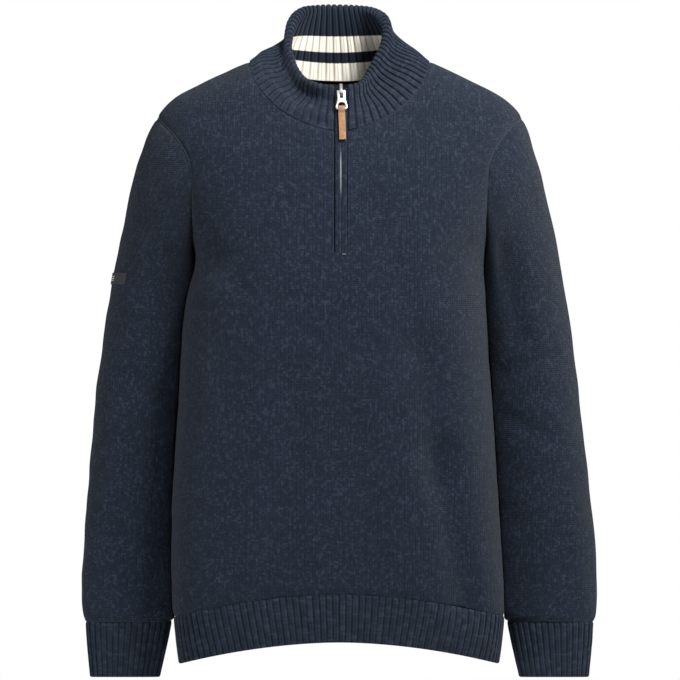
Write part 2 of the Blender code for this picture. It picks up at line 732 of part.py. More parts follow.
def make_hem(finish, parent):
    for name, face in (("hem_rib_front", FRONT), ("hem_rib_back", BACK)):
        rows = []
        for drop in (HEM_HEIGHT, 0):
            halves = []
            for side in (RIGHT, LEFT):
                flat = slice_at(side, face, np.full_like(DENSE, HEM_SEAM_Z - drop), DENSE)
                z = hem_seam_z(flat[:, 0]) - drop - SEAM / 2
                halves.append(slice_at(side, face, z, DENSE))
            line = np.vstack([halves[0], halves[1][-2::-1]])
            rows.append(at_places(line, rib_places(HEM_RIBS)))
        base = np.array(rows)
        facing = unit(form_normal(base) * [1, 1, 0])
        base[-1] = creased(base[-1])  # the folds reach the seam and die out below it
        tall = rib_profile(base.shape[1])[:, None] - RIB_HEIGHT
        outer = base + tall * facing
        inner = (base - (RIB_BASE + RIB_HEIGHT) * facing)[:, ::3]
        for grid in (outer, inner):
            grid[:, [0, -1], 1] += face * SEAM / 2
        ribbed_wall(name, outer, inner, finish, parent)


OUTER_RISES = (0, 0.3, 0.56, 0.8, 0.92, 1)
INNER_RISES = (0.95, 0.5, 0)
ROLL_ANGLES = (45, 90)


def make_collar(finish, parent):
    places = rib_places(COLLAR_RIBS)
    pick = np.round(places * (COLLAR_FINE - 1)).astype(int)
    outer, facing, up = collar_layers(COLLAR_FINE, OUTER_RISES)
    outer = outer - recess(COLLAR_FINE, OUTER_RISES)[..., None] * facing
    outer, facing, up = outer[:, pick], facing[:, pick], up[pick]
    ring, wall_facing, away = neck_seam()
    length = np.concatenate([[0], np.cumsum(np.linalg.norm(np.diff(ring, axis=0), axis=1))])
    seam_places = pick / (COLLAR_FINE - 1) * length[-1]
    for values, row in ((ring + SEAM / 2 * away, outer), (wall_facing, facing)):
        row[0] = np.stack([np.interp(seam_places, length, column) for column in values.T], axis=1)
    thick = collar_thick(OUTER_RISES)
    middle = outer[-1] - thick[-1] / 2 * facing[-1]
    roll = [
        middle
        + thick[-1] / 2 * (math.cos(math.radians(a)) * facing[-1] + math.sin(math.radians(a)) * up)
        for a in ROLL_ANGLES
    ]
    roll_facing = [unit(point - middle) for point in roll]
    tall = rib_profile(len(pick))[:, None] - RIB_HEIGHT
    sheet = np.array(list(outer) + roll)
    sheet_facing = np.array(list(facing) + roll_facing)
    ribs = sheet + tall * sheet_facing
    plain, plain_facing, _ = collar_layers(COLLAR_FINE, INNER_RISES)
    plain, plain_facing = plain[:, pick[::3]], plain_facing[:, pick[::3]]
    plain_facing[-1] = facing[0, ::3]
    plain[-1] = outer[0, ::3]
    inside = plain - collar_thick(INNER_RISES) * plain_facing
    middle, up, last = middle[::3], up[::3], facing[-1, ::3]
    top = middle + thick[-1] / 2 * (math.cos(math.radians(135)) * last + math.sin(math.radians(135)) * up)
    ribbed_wall("collar", ribs, np.array(list(inside[::-1]) + [top]), finish, parent)


ZIP_RISES = (0, 0.2, 0.4, 0.55, 0.65, 0.725, 0.8, 0.9, 1)  # closer together where the slider sits


def zip_lines():
    """The two edges of the zip's opening from its foot to the top of the collar, and which way they face."""
    z = np.linspace(SLIT_Z, -NECK_DROP_FRONT, YOKE_ROWS + 1)[:-1]
    body = [form_at(np.full_like(z, ZIP_X + side * SLIT_WIDTH / 2), z, FRONT) for side in (RIGHT, LEFT)]
    sheet, facing, _ = collar_layers(COLLAR_FINE, ZIP_RISES)
    sheet = sheet - recess(COLLAR_FINE, ZIP_RISES)[..., None] * facing
    right, left = np.vstack([body[0], sheet[:, -1]]), np.vstack([body[1], sheet[:, 0]])
    faces = [np.vstack([form_normal(body[k]), facing[:, k - 1]]) for k in (0, 1)]
    return right, left, unit((faces[0] + faces[1]) * [0, 1, 1])


def zip_row(lines, across, deep):
    """Points up the zip: across is from its middle, deep is how far under the surface of the knit."""
    right, left, facing = lines
    share = (np.asarray(across) / SLIT_WIDTH + 0.5).reshape(-1, 1)
    return right + share * (left - right) - deep * facing


def zip_wall(name, lines, edges, top, thick, finish, parent, kept=slice(None)):
    """A flat strip up the zip between two edges, from top down to its thickness under the surface."""
    front, back = (
        np.stack([zip_row(lines, edge, deep)[kept] for edge in edges], axis=1) for deep in (top, top + thick)
    )
    wall(name, front, back, finish, parent)


def parting(z):
    """How far the two strips stand apart: more round the slider, and where the teeth show."""
    slider = PARTED_SLIDER / (1 + np.exp((PARTED_SLIDER_Z - z) / 2))
    teeth = PARTED_TEETH * np.exp(-(((z - TEETH_Z) / TEETH_REACH) ** 4))
    return PARTED_CLOSED + slider + teeth


def make_zip(knit, tape, metal, parent):
    lines = zip_lines()
    heights = lines[0][:, 2]
    edge = np.full_like(heights, SLIT_WIDTH / 2 - STRIP_GAP)
    behind = STRIP_RECESS + STRIP_THICK + SEAM
    for name, side in (("right", RIGHT), ("left", LEFT)):
        strip_edges = (side * edge, side * parting(heights) / 2)
        tape_edges = (side * edge, np.full_like(heights, side * (CHAIN_HALF_WIDTH + SEAM)))
        zip_wall("placket_" + name, lines, strip_edges, STRIP_RECESS, STRIP_THICK, knit, parent)
        zip_wall("zip_tape_" + name, lines, tape_edges, behind, TAPE_THICK, tape, parent)
    chain = [np.full_like(heights, side * CHAIN_HALF_WIDTH) for side in (RIGHT, LEFT)]
    zip_wall("zip_chain", lines, chain, behind, CHAIN_THICK, metal, parent, kept=heights < CHAIN_TOP_Z)


def outline(name, loops, thick, frame, finish, parent):
    """A flat shape with holes, from loops of points, given a thickness and placed by a matrix."""
    curve = bpy.data.curves.new(name, "CURVE")
    curve.dimensions = "2D"
    curve.fill_mode = "BOTH"
    curve.extrude = thick / 2 * MM
    for loop in loops:
        spline = curve.splines.new("POLY")
        spline.points.add(len(loop) - 1)
        spline.use_cyclic_u = True
        for point, (x, y) in zip(spline.points, loop):
            point.co = (x * MM, y * MM, 0, 1)
    made = bpy.data.objects.new(name, curve)
    made.data.materials.append(finish)
    bpy.context.collection.objects.link(made)
    made.parent = parent
    made.matrix_local = frame
    return made


def arc(centre, radius, start, end, steps):
    angles = np.radians(np.linspace(start, end, steps))
    return [(centre[0] + radius * math.cos(a), centre[1] + radius * math.sin(a)) for a in angles]


def local_frame(right, up, place=(0, 0, 0)):
    """A matrix whose X is right and whose Y is up; place is in millimetres."""
    right, up = unit(np.array(right, float)), unit(np.array(up, float))
    out = np.cross(right, up)
    frame = Matrix.Identity(4)
    for column, axis in enumerate((right, up, out)):
        for row in range(3):
            frame[row][column] = axis[row]
    for row in range(3):
        frame[row][3] = place[row] * MM
    return frame


def hinge_place():
    """The hinge of the pull, and the direction up along the zip there."""
    right, left, facing = zip_lines()
    middle = (right + left) / 2
    order = np.argsort(middle[:, 2])
    y = np.interp(HINGE_Z, middle[order, 2], middle[order, 1])
    out = np.array([0, *(np.interp(HINGE_Z, middle[order, 2], facing[order, k]) for k in (1, 2))])
    place = np.array([ZIP_X, y, HINGE_Z]) + (HINGE_STAND - STRIP_RECESS) * unit(out)
    return place, np.cross(unit(out), [1, 0, 0])


def tab_end():
    """Where the end of the leather lies on the front."""
    point = form_at(np.array([TAB_END_X]), np.array([TAB_END_Z]), FRONT)[0]
    return point + (LEATHER + SEAM + TAB_LIFT) * form_normal(point)


def make_slider(metal, parent):
    """The bridge of the slider, seen from its side: X runs into the garment and Y up along the zip."""
    place, up = hinge_place()
    side_view = local_frame(np.cross(up, [1, 0, 0]), up, place)
    depth = HINGE_STAND + STRIP_THICK + CHAIN_THICK
    round_front = arc((0, 0), EYE_RADIUS + 1.3, 150, 270, 7)
    lower = [(2.6, -3.2), (2.9, SLIDER_FOOT), (depth, SLIDER_FOOT)]
    upper = [(depth, SLIDER_TOP), (2.8, SLIDER_TOP), (0.6, SLIDER_TOP - 0.6), (-1.6, SLIDER_TOP - 3)]
    eye = arc((0, 0), EYE_RADIUS, 0, 345, 16)
    outline("zip_slider", [round_front + lower + upper, eye], SLIDER_WIDTH, side_view, metal, parent)


def mirrored(side):
    """A closed outline from the points of its left side, top to bottom."""
    return side + [(-x, y) for x, y in side[::-1]]


def make_pull(metal, leather, parent, rest):
    """The metal pull and its leather tab, hanging from the hinge along rest."""
    up = -rest
    right = np.array([1.0, 0, 0]) - up[0] * up
    foot = BAR_RADIUS - PULL_LENGTH
    side = [(-PULL_HALF_TOP, BAR_RADIUS), (-PULL_HALF_TOP, PULL_SHOULDER), (-PULL_HALF_WAIST, PULL_WAIST)]
    side += [(-PULL_HALF_WAIST - 0.7, PULL_FLARE), (-PULL_HALF_FOOT, foot + 3.4)]
    side += [(0.6 - PULL_HALF_FOOT, foot + 1.2), (FOOT_BAR - PULL_HALF_FOOT, foot)]
    slot = mirrored([(-SLOT_HALF, -BAR_RADIUS), (-SLOT_HALF, SLOT_FOOT)])
    low = foot + FOOT_BAR
    crown = arc((0, low + EYELET_SIDE), EYELET_HALF, 180, 0, 9)
    crown = [(x, min(y, low + EYELET_HEIGHT)) for x, y in crown]
    eyelet = [(-EYELET_HALF, low), *crown, (EYELET_HALF, low)]
    outline("zip_pull", [mirrored(side), slot, eyelet], PULL_THICK, local_frame(right, up), metal, parent)

    # From its side, the leather is a narrow loop round the foot bar that closes to two layers below it.
    reach = PULL_THICK / 2 + SEAM
    layer = reach + LEATHER
    top = low + 1.2
    bottom = foot + BAR_RADIUS - TAB_LENGTH
    folded = [(LEATHER, bottom), (LEATHER, foot - 3.0), (layer, foot - 0.6)]
    folded += [(layer, top - 0.5), (layer - 0.9, top + 0.9)]
    inside = [(reach, foot - 0.45), (reach, top - 0.9), (reach - 0.5, top - 0.35)]
    side_view = local_frame(np.cross(up, right), up)
    loops = [mirrored(folded), [(0, foot - 1.6)] + mirrored(inside)]
    outline("pull_leather", loops, TAB_WIDTH, side_view, leather, parent)


def make_neck_tape(finish, parent):
    x = np.linspace(-NECK_TAPE_HALF, NECK_TAPE_HALF, NECK_TAPE_COLUMNS)
    seam_z = -NECK_DROP_BACK * (1 - (x / NECK_HALF_WIDTH) ** 2)
    line = np.array([form_at(x, seam_z - drop, BACK) for drop in NECK_TAPE_DROPS])
    outer = line - (KNIT + NECK_TAPE_LIFT) * form_normal(line)
    wall("neck_tape", outer, outer - NECK_TAPE_THICK * form_normal(line), finish, parent)


def make_label(finish, parent):
    """A woven label over whole faces of the sleeve's grid, and parts of the faces at its two ends."""
    grid = sleeve_grid(RIGHT)
    facing = grid_normals(grid, True, -RIGHT)
    columns = []
    for column, part in ((-1, 0.72), (0, 0.0), (0, 0.5), (1, 0.0), (1, 0.5), (2, 0.0), (2, 0.95)):
        after = (column + 1) % grid.shape[1]
        line = (1 - part) * grid[:, column] + part * grid[:, after]
        out = (1 - part) * facing[:, column] + part * facing[:, after]
        order = np.argsort(line[:, 2])
        columns.append(
            [
                [np.interp(LABEL_HEIGHTS, line[order, 2], values[order, k]) for k in range(3)]
                for values in (line, out)
            ]
        )
    points, out = np.array(columns).transpose(1, 3, 0, 2)
    out = unit(out)
    inner = points + LABEL_LIFT * out
    wall("sleeve_label", inner + LABEL_THICK * out, inner, finish, parent)


def main():
    for old in list(bpy.data.objects):
        bpy.data.objects.remove(old, do_unlink=True)
    navy = material("navy_knit", (0.022, 0.033, 0.058), 0.95)
    rib = material("navy_rib", (0.02, 0.03, 0.054), 0.95)
    tape = material("navy_tape", (0.012, 0.016, 0.028), 0.8)
    silver = material("polished_nickel", (0.78, 0.78, 0.76), 0.22, 1.0)
    leather = material("tan_leather", (0.42, 0.17, 0.07), 0.55)
    woven = material("black_woven_label", (0.012, 0.012, 0.014), 0.85)
    flecked = material("flecked_neck_tape", (0.11, 0.085, 0.07), 0.85)

    garment = bpy.data.objects.new("garment", None)
    bpy.context.collection.objects.link(garment)
    make_panels(navy, garment)
    make_sleeves(navy, garment)
    make_cuffs(rib, garment)
    make_hem(rib, garment)
    make_collar(rib, garment)
    make_zip(navy, tape, silver, garment)
    make_label(woven, garment)
    make_neck_tape(flecked, garment)
    make_slider(silver, garment)

    place, _ = hinge_place()
    hinge = bpy.data.objects.new("pull_hinge", None)
    hinge.location = place * MM
    hinge.parent = garment
    bpy.context.collection.objects.link(hinge)
    make_pull(silver, leather, hinge, unit(tab_end() - place))


main()
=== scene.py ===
# %% [markdown]
# # A quarter zip sweater
# The real thing is knitted in flat pieces that are sewn together: a front and a back, two sleeves, ribbed bands at
# the cuffs and the hem, and a ribbed stand collar. A short metal zip opens it at the neck. Here it is filled out as
# it is when worn, with nobody inside, so each piece is a curved sheet about 3 mm thick and the middle is empty.
#
# Every piece starts from a few tables of sizes, in millimetres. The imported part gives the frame: +Z is up, the front
# faces -Y, and the wearer's left is +X.

# %% The frame
import math

import bmesh
import bpy
import mathutils
import numpy as np
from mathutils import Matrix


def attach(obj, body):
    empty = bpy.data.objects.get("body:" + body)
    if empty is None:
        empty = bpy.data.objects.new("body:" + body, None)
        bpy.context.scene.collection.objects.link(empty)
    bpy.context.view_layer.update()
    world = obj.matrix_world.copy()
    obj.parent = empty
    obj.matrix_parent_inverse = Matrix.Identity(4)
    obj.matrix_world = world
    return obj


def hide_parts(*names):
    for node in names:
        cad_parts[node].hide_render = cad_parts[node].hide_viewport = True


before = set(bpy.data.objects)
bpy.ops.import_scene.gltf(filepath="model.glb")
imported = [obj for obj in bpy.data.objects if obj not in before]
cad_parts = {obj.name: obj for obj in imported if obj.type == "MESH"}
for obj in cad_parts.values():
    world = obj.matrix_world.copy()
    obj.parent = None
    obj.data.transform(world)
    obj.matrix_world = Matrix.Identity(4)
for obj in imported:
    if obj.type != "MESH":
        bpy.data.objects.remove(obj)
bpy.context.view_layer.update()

MM = 0.001
LEFT, RIGHT = 1, -1
FRONT, BACK = -1, 1
print("nodes of the part:", ", ".join(sorted(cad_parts)))

# %% [markdown]
# ## Sizes that everything else is measured from
# A maker works from a size chart, and so does this script. The first numbers place the seams. The next ones say how
# thick the knit is and how wide a stitch is: a thick yarn gives about three stitches to a centimetre.

# %% Sizes
SEAM = 0.3  # the gap between two pieces that are sewn together, which the yarn of the seam fills
KNIT = 3.0  # the thickness of plain cloth
RIB_HEIGHT, RIB_BASE = 1.6, 2.6  # how far a rib stands out, and the thickness under it
COLLAR_THICK, ROLL_THICK = 6.0, 14.0  # the folded collar at its seam, and where its top rolls over
BODY_GAP = 0.6  # between the side of the body and a sleeve that lies against it
UNDERARM_Z, UNDERARM_X, UNDERARM_REACH = -237.0, 174.0, 45
TIP_Z = -68.0
NECK_HALF_WIDTH, NECK_DROP_FRONT, NECK_DROP_BACK, NECK_POWER = 107.0, 83.0, 21.0, 1.75
HEM_SEAM_Z, HEM_ARCH, HEM_HEIGHT, HEM_RIBS = -634.0, 26.0, 57.0, 66
HEM_HALF_WIDTH, HEM_POWER = 196, 1.8
ZIP_X, SLIT_WIDTH, SLIT_Z = 1.8, 16.0, -228.0
STRIP_GAPS, STRIP_RECESS, STRIP_THICK = {LEFT: 0.4, RIGHT: 1.1}, 0.5, 2.5
COLLAR_RIBS, CUFF_RIBS = 65, 34
WALE, COURSE = 3.2, 2.35  # one knit stitch is this wide and this tall
print(f"a stitch is {WALE} mm wide and {COURSE} mm tall")

# %% [markdown]
# ## Reading a table of sizes
# A table gives a few measured places, and a smooth curve through them gives all the others. The curve is a cubic
# between each two rows, with the slopes taken from the rows on both sides, so it never has a corner.


# %% A table with a smooth curve through it
class Table:
    """Named columns of sizes, read on a smooth curve along the first column."""

    def __init__(self, names, *rows):
        values = np.array(sorted(rows), float).T
        self.keys = values[0]
        self.columns = dict(zip(names.split(), values))

    def at(self, name, key):
        column = self.columns[name]
        slope = np.gradient(column, self.keys)
        key = np.clip(key, self.keys[0], self.keys[-1])
        i = np.clip(np.searchsorted(self.keys, key) - 1, 0, len(self.keys) - 2)
        step = self.keys[i + 1] - self.keys[i]
        t = (key - self.keys[i]) / step
        start = (1 + 2 * t) * (1 - t) ** 2 * column[i] + t * (1 - t) ** 2 * step * slope[i]
        end = t * t * (3 - 2 * t) * column[i + 1] - t * t * (1 - t) * step * slope[i + 1]
        return start + end


# %% Level slices of the body
BODY = Table(
    "z right left front back power",
    (-730, 189.5, 188, 82, 78, 4.0),
    (-690, 194.5, 193.5, 90, 84, 4.0),
    (-661, 197, 195.5, 96, 89, 3.9),
    (-640, 198.5, 195.5, 100, 92, 3.8),
    (-580, 199.5, 192.5, 108, 98, 3.6),
    (-520, 198.5, 188.5, 114, 103, 3.5),
    (-460, 195.5, 185, 119, 107, 3.4),
    (-400, 191.5, 181, 124, 112, 3.3),
    (-340, 188, 177, 128, 118, 3.2),
    (-284, 183, 174, 131, 124, 3.1),
    (-237, 174, 174, 131.5, 127, 3.0),
    (-210, 181, 181, 130, 127.5, 2.9),
    (-180, 192, 192, 127, 127, 2.8),
    (-150, 204, 204, 122.5, 124, 2.65),
    (-118, 216, 216, 116, 119, 2.5),
    (-90, 222, 222, 107, 112.5, 2.4),
    (-68, 217, 217, 98, 105.5, 2.3),
    (-58, 211.5, 210.5, 94, 101.5, 2.28),
    (-46, 199, 197.5, 88.5, 96, 2.25),
    (-34.5, 180, 178.5, 83, 88, 2.2),
    (-21, 153, 151, 75, 78, 2.16),
    (-10, 130, 127.5, 67, 66, 2.12),
    (0, 107, 107, 56, 53, 2.1),
    (12, 88, 88, 40, 40, 2.1),
)
print(len(BODY.keys), "slices of the body, each with its widths, depths and how square it is")

# %% The armhole seam, seen from the front and from the back
ARMHOLE = Table(
    "z front back",
    (-237, 174, 174),
    (-215, 174.3, 176.5),
    (-190, 174.8, 180.5),
    (-165, 175.2, 185),
    (-140, 176.2, 190),
    (-119, 179.5, 195),
    (-107, 184.5, 199),
    (-96, 191.5, 203),
    (-82, 202.5, 209),
    (-74, 210.5, 213.7),
    (-68, 217, 217),
)
print("the armhole seam is", ARMHOLE.keys[-1] - ARMHOLE.keys[0], "mm high")

# %% Rings of the sleeves, and of the cuffs
SLEEVE = Table(
    "ring outer_left outer_right outer_z inner_left inner_right inner_z middle_y half_depth armhole",
    (0, 217, 217, -68, 174, 174, -237, -9, 69, 1.0),
    (1, 224.5, 226.4, -84, 172, 172, -244, -7, 68.5, 0.78),
    (2, 231.5, 234.5, -106, 169, 170, -252, -4, 68, 0.5),
    (3, 241, 245, -138, 166, 168, -264, 2, 67, 0.25),
    (4, 250, 253.6, -178, 164, 168, -282, 10, 66, 0.08),
    (5, 259, 262.5, -222, 163.5, 174, -306, 17, 64.5, 0),
    (6, 267.5, 272, -270, 164, 175, -336, 23, 62.5, 0),
    (7, 276, 280, -320, 166, 177, -370, 27, 60, 0),
    (8, 282, 287, -372, 168.5, 179, -408, 29, 57, 0),
    (9, 288, 292.5, -424, 171.5, 182.5, -448, 30, 54, 0),
    (10, 294, 297, -476, 175, 185.5, -490, 30, 50, 0),
    (11, 299.5, 301, -528, 179, 188, -536, 29, 46, 0),
    (12, 304.6, 304.6, -580, 181, 189, -582, 28, 42, 0),
    (13, 306.7, 306.7, -622, 183, 186, -622, 25, 37, 0),
    (14, 306, 306, -652, 187.5, 189, -652, 20, 32, 0),
    (15, 304, 304, -666, 197, 198.5, -666, 16, 28, 0),
)
SLEEVE_POWER = 2.25
CUFF = Table(
    "z outer_x inner_x middle_y half_depth power",
    (-666.5, 302.5, 199, 16, 26, 2.4),
    (-684, 301.5, 202.5, 15, 23.5, 2.5),
    (-733, 297, 213.5, 12, 18.5, 2.6),
)
print(len(SLEEVE.keys), "rings of a sleeve and", len(CUFF.keys), "of a cuff")

# %% The collar's top edge
RIM = Table(
    "depth height right left",
    (-1, -1, 0.78, 0.8),
    (-0.6, -0.66, 0.82, 0.64),
    (0, 0.2, 0.985, 0.9),
    (0.5, 0.79, 1, 1.03),
    (0.85, 0.972, 1, 1.01),
    (1, 1, 1, 1),
)
RIM_HALF_WIDTH, RIM_HALF_DEPTH, RIM_HALF_HEIGHT = 63.0, 75.0, 47.5
RIM_MIDDLE = (-1.6, -8.0, 14.5)
RIM_POWER = 2.6
FLARE, BEND = 0.6, 0.4  # where its side bends in: how far out towards the seam, and how high up
RECESS, RECESS_RIGHT = 5.0, 10.0  # the depth of the valley under the roll, which is deeper on the right
RECESS_STARTS, RECESS_ENDS = (0.3, 0.78), (0.82, 1)  # shares of the way up
RECESS_TURNS = (0.45, 0.75)  # shares of the way round, between which the left's depth becomes the right's
RECESS_AT_ZIP, ZIP_STIFF = 0.4, 0.06  # the share of it beside the zip, and how much of the way round that holds
WALL_UNDER_ROLL = 3.6  # the least thickness between the valley and the inside
print("the collar's top edge is", 2 * RIM_HALF_WIDTH, "mm wide and", 2 * RIM_HALF_DEPTH, "mm deep")

# %% [markdown]
# ## The form of the body
# Each level slice is a rounded box, a superellipse whose power says how square it is. A point is on the form where
# its value is 1. The slope of that value gives the way out, and a few steps along it bring any point onto the form.


# %% How far a point is from the form
def half_width(x, z):
    return np.where(x < 0, BODY.at("right", z), BODY.at("left", z))


def half_depth(y, z):
    return np.where(y < 0, BODY.at("front", z), BODY.at("back", z))


def reach(points):
    """1 on the form, and growing evenly with the distance from the middle of each level slice."""
    x, y, z = np.moveaxis(points, -1, 0)
    power = BODY.at("power", z)
    value = (np.abs(x) / half_width(x, z)) ** power + (np.abs(y) / half_depth(y, z)) ** power
    return value ** (1 / power)


def form_slope(points):
    step = 0.25
    rises = [reach(points + step * axis) - reach(points - step * axis) for axis in np.eye(3)]
    return np.stack(rises, axis=-1) / (2 * step)


def unit(vectors):
    return vectors / np.maximum(np.linalg.norm(vectors, axis=-1, keepdims=True), 1e-9)


def form_normal(points):
    return unit(form_slope(points))


# %% Onto the form, and off it
def onto_form(points):
    """Moves points square to the form until they lie on it."""
    for _ in range(6):
        slope = form_slope(points)
        steep = np.sum(slope**2, axis=-1, keepdims=True)
        points = points + (1 - reach(points)[..., None]) / steep * slope
    return points


def pressed(points, gap):
    """Moves points under the arms that are nearer to the form than gap, or inside it, out to that distance."""
    for _ in range(8):
        slope = form_slope(points)
        steep = np.linalg.norm(slope, axis=-1)
        short = gap - (reach(points) - 1) / steep
        short = np.where(points[..., 2] < UNDERARM_Z, np.maximum(short, 0), 0)
        points = points + (short / steep)[..., None] * slope
    return points


# %% Places on the form
def form_at(x, z, face):
    """Points of the form's front or back at places seen from there."""
    power = BODY.at("power", z)
    inside = 1 - np.minimum(np.abs(x) / half_width(x, z), 1) ** power
    y = face * half_depth(face, z) * inside ** (1 / power)
    return np.stack(np.broadcast_arrays(x, y, z), axis=-1).astype(float)


def slice_at(side, face, z, angle):
    """Points of a level slice, from the side seam at angle 0 to the middle at a right angle."""
    power = BODY.at("power", z)
    x = side * half_width(side, z) * np.cos(angle) ** (2 / power)
    y = face * half_depth(face, z) * np.sin(angle) ** (2 / power)
    return np.stack(np.broadcast_arrays(x, y, z), axis=-1)


def at_places(curve, places):
    """Points of a curve at shares of its length."""
    length = np.concatenate([[0], np.cumsum(np.linalg.norm(np.diff(curve, axis=0), axis=1))])
    return np.stack([np.interp(places * length[-1], length, curve[:, k]) for k in range(3)], axis=1)


def spaced(curve, count):
    """count points at even distances along a curve."""
    return at_places(curve, np.linspace(0, 1, count))


def up_to(curve, x):
    """The curve cut off where it comes to x from the side."""
    sign = np.sign(curve[0, 0])
    keep = curve[:, 0] * sign > x * sign
    last, after = curve[keep][-1], curve[~keep][0]
    t = (last[0] - x) / (last[0] - after[0])
    return np.vstack([curve[keep], last + t * (after - last)])


check = onto_form(np.array([[120.0, -150.0, -300.0]]))
print("a point moved onto the form:", np.round(check[0], 1))

# %% [markdown]
# ## Where the seams run
# The panels meet the hem in a line that falls away to the sides, the sleeves along the armholes, and the collar along
# a neckline that is deep in front and shallow behind. Each seam is a line on the form, so both pieces that meet there
# can be made from the same points.

# %% Lines on the form
DENSE = np.linspace(0, math.pi / 2, 400)
SHOULDER_COLUMNS, NECK_COLUMNS, SLIT_COLUMNS = 30, 34, 6
YOKE_ROWS, WAIST_ROWS = 56, 110


def hem_seam_z(x):
    return HEM_SEAM_Z - HEM_ARCH * (np.abs(x) / HEM_HALF_WIDTH) ** HEM_POWER


def chest_z(x):
    """The line across the panels from one underarm to the other, level with the foot of the zip in the middle."""
    return UNDERARM_Z + (SLIT_Z - UNDERARM_Z) * (1 - (np.abs(x) / UNDERARM_X) ** 2)


def waist_line(side, face, t):
    """A line round a half of the body, from the hem seam at t = 0 to the chest line at t = 1."""
    flat = hem_seam_z(0) * (1 - t) + chest_z(0) * t
    x = slice_at(side, face, flat, DENSE)[:, 0]
    z = hem_seam_z(x) * (1 - t) + np.maximum(chest_z(x), UNDERARM_Z) * t
    return slice_at(side, face, z, DENSE)


def armhole(side, face):
    """The armhole seam from the underarm up to the shoulder tip."""
    middle, half = (TIP_Z + UNDERARM_Z) / 2, (TIP_Z - UNDERARM_Z) / 2
    z = middle - half * np.cos(np.linspace(0, math.pi, 600))
    x = ARMHOLE.at("front" if face == FRONT else "back", z)
    return spaced(form_at(side * x, z, face), YOKE_ROWS + 1)


def neckline(side, face):
    """Half of the neck seam, from the high point of the shoulder to the middle."""
    if face == FRONT:
        x = NECK_HALF_WIDTH * np.cos(DENSE) ** (2 / NECK_POWER)
        z = -NECK_DROP_FRONT * np.sin(DENSE) ** (2 / NECK_POWER)
    else:
        x = NECK_HALF_WIDTH * np.cos(DENSE)
        z = -NECK_DROP_BACK * np.sin(DENSE) ** 2
    return form_at(side * x, z, face)


def shoulder(side):
    z = np.linspace(TIP_Z, 0, 120)
    return np.stack([side * BODY.at("left", z), np.zeros_like(z), z], axis=1)


def cut_to(side, face, curve):
    """The curve, from the side, cut off at the edge of the zip's opening if it is on the front."""
    return up_to(curve, ZIP_X + side * SLIT_WIDTH / 2) if face == FRONT else curve


def neck_points(side, face):
    return spaced(cut_to(side, face, neckline(side, face)), NECK_COLUMNS + 1)


# %% Half of a panel
def half_panel(side, face):
    """Rows of points from the hem seam up to the shoulder and neck, each from the side to the middle."""
    columns = SHOULDER_COLUMNS + NECK_COLUMNS + 1
    waist = [
        spaced(cut_to(side, face, waist_line(side, face, t)), columns)
        for t in np.linspace(0, 1, WAIST_ROWS + 1)
    ]
    bottom, edge = waist[-1], armhole(side, face)
    top = np.vstack([spaced(shoulder(side), SHOULDER_COLUMNS + 1), neck_points(side, face)[1:]])
    middle_z = np.linspace(bottom[-1, 2], top[-1, 2], YOKE_ROWS + 1)
    middle = form_at(np.full_like(middle_z, bottom[-1, 0]), middle_z, face)
    t = np.linspace(0, 1, YOKE_ROWS + 1)[:, None, None]
    q = np.linspace(0, 1, columns)[None, :, None]
    ruled = (1 - t) * bottom + t * top + (1 - q) * edge[:, None] + q * middle[:, None]
    corners = (1 - t) * ((1 - q) * bottom[0] + q * bottom[-1]) + t * ((1 - q) * top[0] + q * top[-1])
    yoke = onto_form(ruled - corners)
    yoke[0], yoke[-1], yoke[:, 0], yoke[:, -1] = bottom, top, edge, middle
    for _ in range(40):
        inside = (yoke[:-2, 2:-1] + yoke[2:, 2:-1] + yoke[1:-1, 1:-2] + yoke[1:-1, 3:]) / 4
        yoke[1:-1, 2:-1] = inside
    yoke[1:-1, 2:-1] = onto_form(yoke[1:-1, 2:-1])
    return np.concatenate([waist[:-1], yoke])


# %% [markdown]
# ## Soft folds
# Knit this thick makes few folds, and all of them are shallow and soft. They are placed one by one, as a line with a
# depth and a width, and each pushes the cloth in with a rounded trough. A very small, slow unevenness over everything
# keeps the cloth from looking machined.

